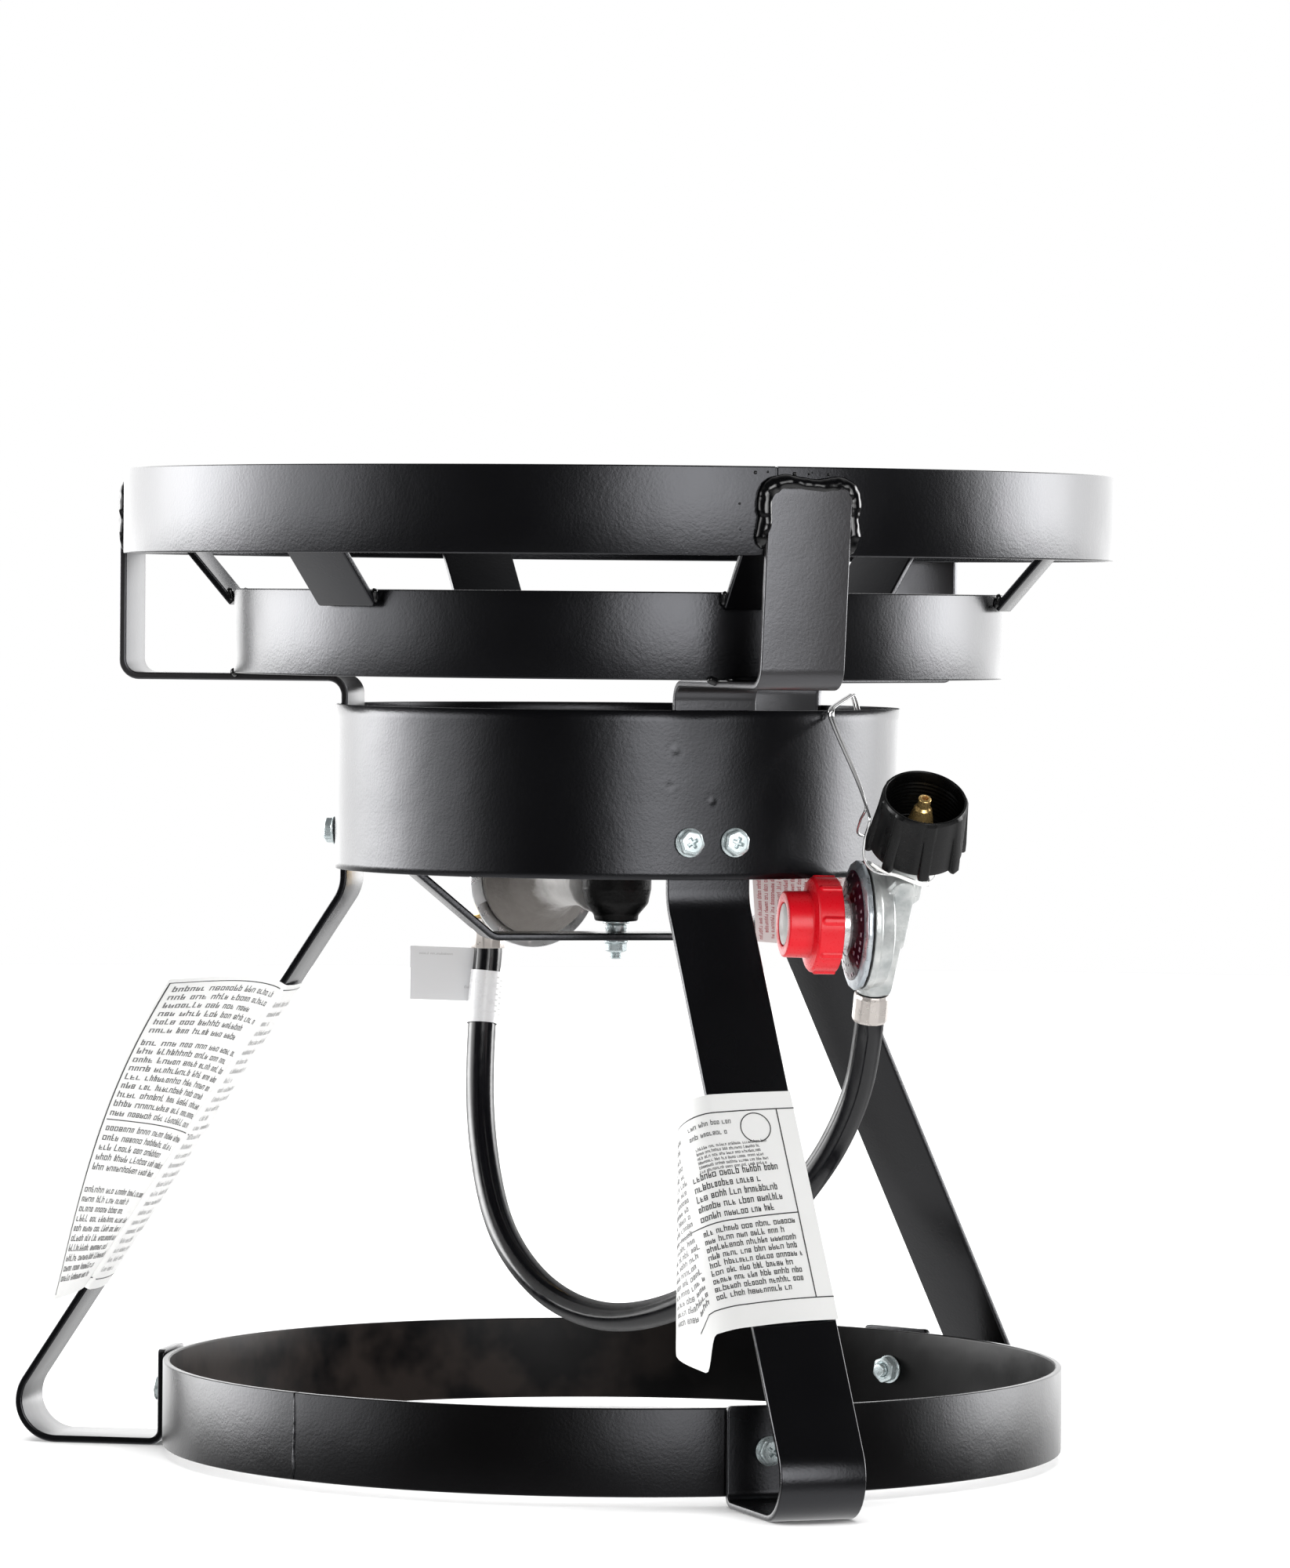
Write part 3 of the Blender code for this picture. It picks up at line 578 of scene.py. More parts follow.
def skin(m, n, inside_out=False):
    """Faces over n rows of m points each, closed round and capped at both ends."""
    faces = [(i + k, i + (k + 1) % m, i + m + (k + 1) % m, i + m + k)
             for i in range(0, m * (n - 1), m) for k in range(m)]
    faces += [tuple(reversed(range(m))), tuple(range(m * (n - 1), m * n))]
    return [f[:1] + f[:0:-1] for f in faces] if inside_out else faces


def directions(pts):
    """The way a path goes at each of its points."""
    return [(q - p).normalized() for p, q in zip(pts[:1] + pts, pts[1:] + pts[-1:])]


def arc(cx, cz, r, a0, a1, n):
    angles = [radians(a0 + (a1 - a0) * i / n) for i in range(n + 1)]
    return [(cx + r * cos(a), cz + r * sin(a)) for a in angles]


def strap(name, node, path, az, ends, w=STRAP_W, mat=POWDER, lean=None):
    """A bent flat bar with rounded edges. path is its centreline as (distance from the axis,
    height), and ends are the corner radii at its first and last end."""
    er, et = radial(az), tangent(az)
    path = [Vector(p) for p in path]
    steps = [(q - p).normalized() for p, q in zip(path, path[1:])]
    rows = []                                             # (point, normal, half width)
    for p, d0, d1 in zip(path, steps[:1] + steps, steps + steps[-1:]):
        d = (d0 + d1).normalized()
        rows.append((p, Vector((-d.y, d.x)) / max(d.dot(d0), 0.5), w / 2))
    for rc in ends:
        rows.reverse()                                    # the end being rounded comes last
        p, nn, hw = rows.pop()
        d = (p - rows[-1][0]).normalized()
        rows += [(p - d * rc * (1 - sin(radians(a))), nn, hw - rc * (1 - cos(radians(a))))
                 for a in range(0, 91, 18)]
    verts = []
    for p, nn, hw in rows:
        for u, v in fillet([(-hw, -T2), (hw, -T2), (hw, T2), (-hw, T2)], 0.75, 4):
            u += lean(p.y) if lean else 0.0
            verts.append(er * (p.x + nn.x * v) + et * u + UP * (p.y + nn.y * v))
    faces = skin(len(verts) // len(rows), len(rows), True)
    return make(name, verts, faces, mat, smooth=50.0, node=node)


def curve_points(keys, per):
    """Points on a smooth curve (Catmull-Rom) through keys."""
    P = [keys[0] * 2 - keys[1]] + list(keys) + [keys[-1] * 2 - keys[-2]]
    out = []
    for a, b, c, d in zip(P, P[1:], P[2:], P[3:]):
        for t in (k / per for k in range(per)):
            out.append(0.5 * ((2 * b) + (c - a) * t + (2 * a - 5 * b + 4 * c - d) * t * t
                              + (3 * b - a - 3 * c + d) * t ** 3))
    return out + [P[-2]]


def bead(name, keys, size, seed, mat=WELD, lump=0.12, per=10, out=None, node=None):
    """A weld bead along keys. size is its radius, or its half width and its height above the
    metal at each key, and then out(point) is the way that it stands out."""
    sizes = size if isinstance(size, list) else [(size, size)] * len(keys)
    sizes = curve_points([Vector((*s, 0)) for s in sizes], per)
    pts = curve_points(keys, per)
    n, seg = len(pts), 20
    verts = []
    x = Vector((0.3, 0.5, 0.81))
    for i, (p, d, s) in enumerate(zip(pts, directions(pts), sizes)):
        x = d.cross(out(p)).normalized() if out else (x - d * x.dot(d)).normalized()
        y = out(p) if out else d.cross(x)
        k = sin(min(1.0, (min(i, n - 1 - i) + 0.35) / (per * 0.5)) * pi / 2)
        for j in range(seg):
            q = turned(x * s.x, y * s.y, 360 / seg * j)
            w = (1 + lump * noise.noise(p * 0.16 + Vector((seed, 0, 0)))
                 + lump * noise.noise((p + q) * 0.38 + Vector((0, seed, 0))))
            verts.append(p + q * (k * w))
    return make(name, verts, skin(seg, n), mat, smooth=75.0, node=node)


def applied(ob):
    """ob with its modifiers made part of its mesh."""
    me = bpy.data.meshes.new_from_object(ob.evaluated_get(bpy.context.evaluated_depsgraph_get()))
    ob.modifiers.clear()
    ob.data = me
    return ob


# ---- camera ---------------------------------------------------------------------------------
scene = bpy.context.scene
cam_data = bpy.data.cameras.new("camera")
cam_data.sensor_width, cam_data.lens = 36.0, 172.08
cam_data.clip_start, cam_data.clip_end = 0.1, 60.0
cam = bpy.data.objects.new("camera", cam_data)
scene.collection.objects.link(cam)
cam.matrix_world = (Matrix.Translation((0.0372, -3.3698, 0.386))
                    @ Matrix.Rotation(radians(90.0 - 1.39), 4, "X") @ Matrix.Rotation(radians(0.5), 4, "Z"))
scene.camera = cam
scene.view_settings.view_transform = "Standard"

# ---- light: tall soft boxes left and right, a narrow one near the camera, dark between ------
# Each pair is an azimuth in degrees, 0 towards the camera and + to its right, and a radiance.
SWEEP = ((-180, 2.9), (-165, 3.3), (-150, 3.8), (-138, 5.6), (-126, 11.5), (-114, 16.0), (-102, 16.0),
         (-92, 9.0), (-80, 4.8), (-68, 3.8), (-60, 1.3), (-52, 0.4), (-42, 0.1), (-10, 0.04),
         (-3, 0.4), (4, 5.2), (11, 9.5), (22, 9.5), (29, 5.0), (40, 5.0), (47, 1.2), (54, 0.08),
         (77, 0.04), (87, 0.3), (94, 5.0), (101, 13.0), (111, 15.5), (121, 11.0), (131, 5.4), (145, 3.6),
         (160, 3.0), (180, 2.9))
PEAK = 16.0
studio = bpy.data.worlds.new("studio")
scene.world = studio
studio.use_nodes = True
nt = studio.node_tree
nt.nodes.clear()


def maths(op, *args):
    return add_node(nt, "ShaderNodeMath", args, operation=op).outputs[0]


def fade(*source_and_limits):
    return spread(nt, *source_and_limits, interpolation_type="SMOOTHSTEP")


way = add_node(nt, "ShaderNodeTexCoord").outputs["Generated"]
dx, dy, dz = add_node(nt, "ShaderNodeSeparateXYZ", [way]).outputs
turn = maths("ARCTAN2", dx, maths("MULTIPLY", dy, -1.0))
boxes = ramp(nt, maths("MULTIPLY_ADD", turn, 1 / (2 * pi), 0.5),
             [(az / 360 + 0.5, (v / PEAK,) * 3) for az, v in SWEEP], "EASE")
band = maths("MULTIPLY", fade(dz, -0.15, -0.03, 0.0, 1.0), fade(dz, 0.28, 0.55, 1.0, 0.0))
near = maths("MULTIPLY", maths("MULTIPLY", boxes, PEAK), band)
sky = maths("MULTIPLY", fade(dz, 0.25, 0.6, 0.0, 1.0), fade(dy, -0.25, 0.7, 0.07, 0.9))
steep = maths("MULTIPLY", fade(dz, -0.62, -0.34, 1.5, 0.4), fade(dz, -0.40, -0.12, 1.0, 0.0))
rear = maths("MULTIPLY", fade(dy, 0.45, 0.9, 0.0, 1.4), fade(dz, -0.05, 0.0, 1.0, 0.0))
strength = maths("ADD", maths("ADD", near, sky), maths("MAXIMUM", steep, rear))
light = add_node(nt, "ShaderNodeBackground", {"Strength": strength}).outputs[0]
plain = add_node(nt, "ShaderNodeBackground", {"Color": (1, 1, 1, 1), "Strength": 1.0}).outputs[0]
seen = add_node(nt, "ShaderNodeLightPath").outputs["Is Camera Ray"]
either = add_node(nt, "ShaderNodeMixShader", [seen, light, plain]).outputs[0]
add_node(nt, "ShaderNodeOutputWorld", [either])

# ---- floor: white paper with its own overhead light, which no other piece catches ------------
R_FLOOR = 4500.0
floor_mat = Paint("floor_paper", (0.86, 0.86, 0.86), 0.7, spec=0.2)
floor_mat.bump(floor_mat.noise(12, 2.0), 0.05, 0.001)
rim = [world(turned(SIDE, -FRONT, a, R_FLOOR)) for a in range(0, 360, 6)]
floor = bpy.data.objects.new("floor", mesh_of("floor", rim, [tuple(range(60))], floor_mat.mat))
scene.collection.objects.link(floor)
floor.visible_glossy = False
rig.stage(floor)
lit = bpy.data.collections.new("lit_by_overhead")
lit.objects.link(floor)
sun = bpy.data.lights.new("overhead", "SUN")
sun.energy, sun.angle = 3.6, radians(70)
overhead = bpy.data.objects.new("overhead", sun)
scene.collection.objects.link(overhead)
overhead.light_linking.receiver_collection = lit


# ---- rings ----------------------------------------------------------------------------------
def ring(name, node, r, z0, z1, seam, mat, inside=None):
    """A ring of flat bar with rounded edges and the butt joint where its ends meet."""
    inner, zm, groove = r - STRAP_T, (z0 + z1) / 2, 0.55
    turns = [float(a) for a in range(360) if abs(off(a, seam)) > 0.5]
    turns += [(seam + d) % 360 for d in (-0.45, -0.16, -0.08, 0.0, 0.08, 0.16, 0.45)]

    def shape(a, rr, h):
        rr += 0.12 * uneven(a, 2.2, h * 0.01)
        if abs(off(a, seam)) < 0.12:
            rr += -groove if rr > r - T2 else groove
            h = zm + (h - zm) * 0.985
        return rr, h
    lathe(name, fillet([(inner, z0), (r, z0), (r, z1), (inner, z1)], 0.7), AXIS, UP, mat, xhint=FRONT,
          turns=sorted(turns), shape=shape, other=inside or mat, slot=lambda q, h: int(q < r - T2),
          smooth=35, node=node)


ring("ring_base", "base_ring", BASE_R, BASE_Z0, BASE_Z1, BASE_SEAM, POWDER_BASE, SMUDGED)
ring("ring_upper", "upper_ring", TOP_R, TOP_Z0, TOP_Z1, TOP_SEAM, POWDER_TOP)
ring("ring_lower", "lower_ring", LOW_R, LOW_Z0, LOW_Z1, LOW_SEAM, POWDER)

# ---- wind shield with the marks of the spot welds that hold the arms behind it --------------
# Each mark is its place in degrees from the arm, height, radius and rise.
MARKS = ((-8.7, 321.6, 2.4, 0.17), (-9.8, 306.0, 2.2, -0.10), (-1.1, 299.3, 1.9, 0.24))
NEAR_ARM = 13.0
turns = []
a = 0.0
while a < 359.99:
    turns.append(a)
    a += 0.4 if min(abs(off(a, az)) for az in ARMS.values()) < NEAR_ARM else 1.5


def shield_shape(a, r, h):
    dr = 0.10 * uneven(a, 2.0, h * 0.02)
    for d in (off(a, az) for az in ARMS.values()):
        for da, z, rad, rise in MARKS:
            q = hypot(radians(d - da) * SHIELD_R, h - z) / rad
            if q < 2.2:
                dr += rise * exp(-q * q * 1.6) - 0.35 * rise * exp(-(q - 1.1) ** 2 * 6)
    return r + dr, h


e, R0, Z0, Z1 = 0.35, SHIELD_R - SHIELD_T, SHIELD_Z0, SHIELD_Z1
rows = [268, 272, 277, 283, 289] + [291 + 1.15 * i for i in range(31)] + [330, 334]
prof = ([(R0, Z0 + e), (R0 + e, Z0), (SHIELD_R - e, Z0), (SHIELD_R, Z0 + e)] + [(SHIELD_R, z) for z in rows]
        + [(SHIELD_R, Z1 - e), (SHIELD_R - e, Z1), (R0 + e, Z1), (R0, Z1 - e)]
        + [(R0, z) for z in rows[::-1]])
lathe("shield_sheet", prof, AXIS, UP, POWDER_SHIELD, xhint=FRONT, turns=turns, shape=shield_shape, smooth=60,
      node="wind_shield")

# ---- legs, arms, cradle straps and brace ----------------------------------------------------
SLANT = radians(33.0)
leg_r, knee, tab_r = LEG_IN - T2, 20.0, TAB_IN + T2
foot_c, foot_r = (255.0, 19.0), 17.4
p_foot = (foot_c[0] + foot_r * cos(SLANT), foot_c[1] + foot_r * sin(SLANT))
knee_z = p_foot[1] + (p_foot[0] - leg_r) / tan(SLANT) + knee * tan(SLANT / 2)
leg_path = ([(leg_r, 292.0)] + arc(leg_r + knee, knee_z, knee, 180.0, 213.0, 10)
            + arc(*foot_c, foot_r, 33.0, -90.0, 20) + arc(tab_r + 5.6, T2 + 5.6, 5.6, -90.0, -180.0, 8)
            + [(tab_r, 43.6)])
for nm, az in LEGS.items():
    coat = POWDER_BASE if nm == "right" else POWDER
    strap(f"leg_strap_{nm}", f"leg_{nm}", leg_path, az, (1.5, 2.5), mat=coat)

arm_out, arm_z, bend = TOP_R + 0.4 + T2, 349.0 + T2, 7.6
arm_path = ([(leg_r, 295.0)] + arc(leg_r + bend, arm_z - bend, bend, 180.0, 90.0, 9)
            + arc(arm_out - bend, arm_z + bend, bend, -90.0, 0.0, 9) + [(arm_out, 435.0)])
ARM_LEAN = {"front": 0.040, "left": 0.0, "right": 0.0}     # sideways, for each mm of height


def arm_lean(nm):
    return lambda z: ARM_LEAN[nm] * max(0.0, z - arm_z)


for nm, az in ARMS.items():
    strap(f"arm_strap_{nm}", f"arm_{nm}", arm_path, az, (1.5, 3.2), mat=ARM_COAT_PAINTED_LIGHT, lean=arm_lean(nm))

tilt = radians(40.5)
inward = Vector((cos(tilt), -sin(tilt))) * T2
c0 = Vector((176.6, 383.2))
c1 = c0 + Vector((sin(tilt), cos(tilt))) * ((219.3 - c0.x) / sin(tilt))
for i, az in enumerate(CRADLE_AZ):
    strap(f"cradle_{i + 1}", f"cradle_strap_{i + 1}", [c0 - inward, c1 - inward], az, (1.2, 1.2), w=34.0)

BRACE_W, brace_flat, brace_rise, bend = 25.4, 58.5, 289.0, 7.0
bz = BRACE_Z + T2
wall = sqrt(125.9 ** 2 - (BRACE_W / 2) ** 2) - 0.5 - T2
slope = atan2(brace_rise - bz, wall - brace_flat)
half_path = (arc(brace_flat - bend * tan(slope / 2), bz + bend, bend, -90.0, degrees(slope) - 90.0, 7)
             + arc(wall - bend, brace_rise + bend * tan((pi / 2 - slope) / 2), bend,
                   degrees(slope) - 90.0, 0.0, 7)
             + [(wall, 312.0)])
strap("brace_strap", "burner_brace", [(-r, z) for r, z in half_path[::-1]] + half_path, 102.0, (2.0, 2.0),
      w=BRACE_W)

# ---- weld beads -----------------------------------------------------------------------------
# Round the top of each arm, from its left side over the top and down its right side: place along
# the ring from the arm's middle, height, half width and thickness of the bead.
ARM_BEAD = ((-20.0, 409.0, 2.0, 1.6), (-19.9, 414.0, 3.7, 3.4), (-19.2, 421.0, 3.4, 4.0),
            (-19.7, 428.0, 3.8, 3.8), (-18.9, 433.0, 4.0, 4.1), (-15.6, 436.0, 4.0, 4.0),
            (-10.0, 437.2, 3.4, 3.7), (-3.0, 436.4, 3.2, 3.3), (4.0, 435.6, 3.2, 3.5),
            (10.0, 435.9, 3.6, 3.3),
            (15.0, 435.9, 4.0, 3.7), (18.8, 433.4, 4.0, 3.9), (20.4, 428.0, 3.9, 3.7),
            (20.0, 422.0, 3.5, 3.4),
            (20.6, 415.5, 3.9, 3.6), (20.0, 410.0, 3.0, 2.8), (19.7, 406.6, 1.5, 1.6))
# Drops of spatter along its upper edge: place along the ring, height and radius.
SPATTER = ((-20.5, 441.3, 0.7), (-15.0, 441.6, 0.45), (-3.0, 440.8, 0.8), (3.6, 440.9, 0.5),
           (5.2, 441.6, 0.35),
           (12.6, 440.9, 0.55), (-27.3, 428.0, 0.5), (-26.9, 417.0, 0.4))


def on_ring(az, u, z, out, r=TOP_R):
    """A point u round from azimuth az, out from the face of a ring of radius r."""
    return turned(radial(az), tangent(az), degrees(u / r), r + out) + UP * z


for k, (nm, az) in enumerate(ARMS.items()):
    er, et = radial(az), tangent(az)
    bead(f"weld_arm_{nm}", [on_ring(az, u + arm_lean(nm)(z), z, 1.1) for u, z, _, _ in ARM_BEAD],
         [b[2:] for b in ARM_BEAD], 3.7 * k + 1.3, lump=0.10, per=9,
         out=lambda p: Vector((p.x, p.y, 0)).normalized())
    for j, (u, z, r) in enumerate(SPATTER):
        c = on_ring(az, u, z, 0.1)
        bead(f"spatter_{nm}_{j + 1}", [c - et * r, c, c + et * r], r, j + k, per=4)
    for s in (-1, 1):
        # where the arm passes under the lower ring
        c = on_ring(az, s * (STRAP_W / 2 + 1.0), 352.4, 0.6, LOW_R)
        bead(f"weld_low_{nm}_{'ab'[s > 0]}", [c - UP * 1.2 - et * s * 3.0, c, c + UP * 1.2 + et * s * 2.4],
             1.7, 5.1 * k + s, per=6)
    # along the lower ring's foot, on top of the arm
    bead(f"weld_under_{nm}", [er * (LOW_R + 1.4) + et * u + UP * 352.9 for u in (-15, -5, 5, 15)], 1.5,
         9.0 + k, per=8)
for i, az in enumerate(CRADLE_AZ):
    er, et = radial(az), tangent(az)
    for s in (-1, 1):
        # a bead down each side of the strap's foot, and one at each side of its top end
        p, q = er * (LOW_R + 1.3) + et * s * 16.8, er * (TOP_R - STRAP_T - 1.3) + et * s * 16.2
        tag = f"{i + 1}{'ab'[s > 0]}"
        bead(f"weld_cradle_{tag}", [p + UP * 384.6, p + UP * 388.0 + er * 0.8, p + UP * 391.0 + er * 1.9],
             1.5, 2.2 * i + s, per=6)
        bead(f"weld_cradle_top_{tag}", [q + UP * 424.0 - er * 3.0, q + UP * 428.5 - er * 0.6, q + UP * 432.5],
             1.6, 1.2 * i + s, per=6)
er, et = radial(BASE_SEAM) * (BASE_R - 0.05), tangent(BASE_SEAM)
bead("weld_base_seam", [er + et * w + UP * z for z, w in ((6, 0.2), (14, -0.2), (22, 0.1), (30, 0.3),
                                                          (41, -0.1))],
     0.55, 4.4, mat=POWDER, lump=0.2)


# ---- screws and nuts ------------------------------------------------------------------------
def hexed(af, a, turn, round_off=0.35):
    """The radius of a hexagon across flats af at angle a, with slightly rounded corners."""
    return min(af / 2 / cos(radians(off(a, turn, 60.0))), af / 2 / cos(radians(30)) - round_off)


def screw(name, node, at, axis, head_z, tip_z, turn):
    """Hex washer head screw with a cross recess."""
    prof = fillet([(0, tip_z), (3.0, tip_z), (3.0, head_z), (6.5, head_z), (6.4, head_z + 1.0),
                   (5.3, head_z + 1.35), (5.2, head_z + 4.2), (4.5, head_z + 4.9), (0, head_z + 5.15)],
                  [0, 0.5, 0.2, 0.35, 0.4, 0.3, 0.35, 0.5, 0], 3, False)
    # the top is a fine disc of its own, so that the recess has sharp walls
    top, deep = head_z + 4.95, 1.5
    rings = (4.3, 3.9, 3.4, 3.0, 2.75, 2.5, 2.25, 2.0, 1.75, 1.5, 1.3, 1.1, 0.95, 0.8, 0.65, 0.5, 0.35, 0.18)
    prof = [p for p in prof[:-1] if not (p[0] < 4.4 and p[1] > head_z + 4)]
    prof += [(r, top + (4.3 - r) * 0.03) for r in rings] + [(0, top + 0.13 - deep)]

    def shape(a, r, h):
        cut = 0.0
        if r < 4.31 and h > head_z + 4.5:
            for q in (radians(a - turn - 45), radians(a - turn - 135)):
                arm = clamp((2.55 - abs(r * cos(q))) / 0.5) * clamp((0.78 - abs(r * sin(q))) / 0.3)
                cut = max(cut, deep * arm)
        if 4.0 < r < 5.6 and h > head_z + 0.9:
            r += hexed(10.4, a, turn) - 5.2
        return r, h - cut
    lathe(name, prof, at, axis, ZINC, xhint=UP, loop=False, shape=shape,
          turns=[turn + 5.0 * i for i in range(72)],
          smooth=32, node=node)


def nut(name, node, at, axis, z0, turn, af=11.1, bore=3.3, tall=5.6, flange=6.6):
    """Flange nut with chamfered corners."""
    prof = fillet([(bore, z0 + 0.3), (bore + 0.5, z0), (flange, z0), (flange, z0 + 0.9),
                   (af / 2 + 0.1, z0 + 1.5),
                   (af / 2, z0 + tall - 0.7), (af / 2 - 0.9, z0 + tall), (bore + 0.5, z0 + tall),
                   (bore, z0 + tall - 0.4)], [0, 0, 0.3, 0.3, 0.3, 0.25, 0.2, 0.1, 0], 3)

    def shape(a, r, h):
        if af / 2 - 0.55 < r < af / 2 + 0.2 and h > z0 + 1.2:
            r += hexed(af, a, turn) - af / 2
        return r, h
    lathe(name, prof, at, axis, ZINC, xhint=UP, shape=shape, turns=[turn + 5.0 * i for i in range(72)],
          smooth=32, node=node)


for nm, az in LEGS.items():
    er, et = radial(az), tangent(az)
    for tag, s in (("a", -1), ("b", 1)):
        at, end = et * (s * SCREW_PITCH / 2) + UP * SCREW_Z, f"{nm}_{tag}"
        screw(f"screw_shield_{end}", f"shield_screw_{end}", at, er, 127.7, 112.0, 17.0 * s + 5)
        nut(f"nut_shield_{end}", f"shield_nut_{end}", at, -er, -(LEG_IN - STRAP_T - 0.3), 9.0 * s)
    at = UP * TAB_SCREW_Z
    screw(f"screw_base_{nm}", f"base_screw_{nm}", at, er, TAB_IN + STRAP_T + 0.3, 191.5, 8.0)
    nut(f"nut_base_{nm}", f"base_nut_{nm}", at, -er, -(BASE_R - STRAP_T - 0.4), 20.0)


# ---- burner ---------------------------------------------------------------------------------
def rough_cast(amount, freq):
    def shape(a, r, h):
        n = noise.noise((turned(SIDE, -FRONT, a, r) + UP * h) * freq)
        return r + amount * n, h + amount * 0.3 * n
    return shape


BELL = [(2.9, 241.7), (9.8, 241.7), (10.2, 244.6), (14.4, 249.6), (15.8, 256.0), (16.0, 268.0),
        (19.5, 277.5), (41.0, 289.0), (48.0, 295.0), (48.0, 301.0), (45.0, 301.0), (45.0, 296.5),
        (26.0, 287.6), (16.4, 279.5), (12.8, 268.0), (12.4, 254.0), (8.0, 248.6), (2.9, 248.6)]
lathe("bell", fillet(BELL, [0.4, 1.2, 2.5, 5, 5, 6, 8, 6, 4, 1.2, 1.2, 3, 5, 6, 6, 4, 2, 0.4], 5), AXIS, UP,
      CAST_BLACK, 120, shape=rough_cast(0.28, 0.22), node="burner_bowl")

# the cap's rim is slotted all round where the flame comes out
SLOT_PITCH, SLOT_AT = 15.0, 3.0
slot_turns = [(SLOT_PITCH * i + SLOT_AT + d) % 360 for i in range(24)
              for d in (-1.9, -1.15, 0, 1.15, 1.9, 4.5, 7.5, 10.5)]


def cap_shape(a, r, h):
    return (42.5 if abs(off(a, SLOT_AT, SLOT_PITCH)) < 1.3 and r > 43 else r), h


lathe("port_cap", fillet([(2.9, 301.3), (50.0, 301.3), (50.0, 305.6), (46.5, 306.5), (24.0, 306.5),
                          (18.0, 305.9),
                          (8.0, 305.9), (6.5, 306.5), (2.9, 306.5)],
                         [0.3, 0.8, 0.8, 1.0, 0.8, 0.8, 0.5, 0.5, 0.3], 3),
      AXIS, UP, CAST_BLACK, turns=sorted(slot_turns), shape=cap_shape, node="burner_port_cap")

VD, VO = HORN_WAY.normalized(), UP * GAS_Z


def carved(ob, at, wide, r0, r1, h0, h1):
    """ob with three wedges cut out of it, the first at the angle at, each 2 wide."""
    x, y, z = basis(VD, UP)
    tools = []
    for a in (at, at + 120, at + 240):
        across = [a + wide * (i / 4 - 1) for i in range(9)]
        outline = [turned(x, y, t, r1) for t in across] + [turned(x, y, t, r0) for t in across[::-1]]
        verts = [VO + p + z * h for h in (h0, h1) for p in outline]
        tools.append(make("wedge", verts, skin(len(outline), 2), HORN))
    for t in tools:
        m = ob.modifiers.new("cut", "BOOLEAN")
        m.operation, m.solver, m.object = "DIFFERENCE", "EXACT", t
    applied(ob)
    for t in tools:
        bpy.data.objects.remove(t, do_unlink=True)
    return ob


horn = lathe("horn", fillet([(6.9, 10.5), (8.0, 10.5), (8.0, 17.4), (14.5, 18.6), (12.4, 26.0), (11.6, 38.0),
                             (13.0, 54.0), (19.0, 69.0), (27.5, 77.5), (27.5, 81.0), (6.4, 81.0), (6.4, 78.0),
                             (24.0, 78.0), (15.6, 67.0), (9.6, 52.0), (8.8, 36.0)],
                            [0, 0.3, 0.6, 1.2, 5, 8, 10, 12, 1.5, 0.5, 0.3, 0.3, 3, 8, 6, 3], 6),
             VO, VD, HORN, 120, UP, shape=rough_cast(0.22, 0.2))
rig.replaces(carved(horn, 60, 34, 10.5, 22.5, 77.0, 84.0), "venturi_horn")
shutter = lathe("shutter_disc", fillet([(7.4, 81.4), (33.0, 81.4), (33.0, 82.6), (7.4, 82.6)], 0.3, 3),
                VO, VD,
                SHUTTER, 120, UP, body="air_shutter")
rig.replaces(carved(shutter, 95, 30, 11.0, 22.0, 80.0, 84.0), "air_shutter")


def jet_shape(a, r, h):
    return (hexed(18.4, a, 0, 0.4) + r - 9.6, h) if 82.6 < h < 90.4 and r > 8.5 else (r, h)


lathe("orifice", fillet([(0.9, 68.0), (2.6, 68.0), (4.6, 73.0), (5.9, 75.0), (5.9, 83.0), (9.6, 83.0),
                         (9.6, 90.0), (6.0, 91.0), (6.0, 106.0), (2.6, 106.0), (2.6, 76.0)],
                        [0.2, 0.3, 0.5, 0.4, 0.3, 0.5, 0.5, 0.3, 0.5, 0.2, 0.2], 3),
      VO, VD, BRASS, 72, UP, shape=jet_shape, node="orifice_fitting")


def tube(name, node, path, radii, bore, mat, seg=32):
    """A pipe along path, of radii outside and bore inside."""
    x, outer, inner = SIDE, [], []
    for p, d, r in zip(path, directions(path), radii):
        x = (x - d * x.dot(d)).normalized()
        for row, rr in ((outer, r), (inner, bore)):
            row.append([p + turned(x, d.cross(x), 360 / seg * k, rr) for k in range(seg)])
    rows = outer + inner[::-1]
    total = seg * len(rows)
    faces = []
    for o in range(0, total, seg):
        q = (o + seg) % total
        faces += [(o + k, o + (k + 1) % seg, q + (k + 1) % seg, q + k) for k in range(seg)]
    make(name, [v for row in rows for v in row], faces, mat, node=node)


EL = VO + VD * 129.0
FER_B = EL + DOWN * 21.3
el_bend = [EL + VD * (9.0 * sin(t) - 9.0) + DOWN * (9.0 - 9.0 * cos(t))
           for t in (pi / 16 * i for i in range(9))]
tube("elbow_cast", "elbow", [VO + VD * s for s in (106.4, 107.2, 112.4, 113.2, 116.0)] + el_bend
     + [EL + DOWN * s for s in (13.0, 13.6, 19.4, 20.2, 21.0)],
     [8.0, 8.6, 8.6, 8.0, 7.3] + [7.2] * 9 + [7.2, 6.6, 6.6, 7.2, 7.0], 2.7, BRASS)


def crimped(a, r, h):
    """Flat facets pressed round a ferrule."""
    return (r / cos(radians(off(a, 0, 30.0))) * 0.985 if r > 7.3 else r), h


fer_b = lathe("ferrule_low", fillet([(6.85, 0.0), (7.9, 0.0), (7.9, 14.0), (6.85, 14.0)], 0.35, 3), FER_B,
              DOWN,
              FERRULE, 72, shape=crimped, node="ferrule_burner")

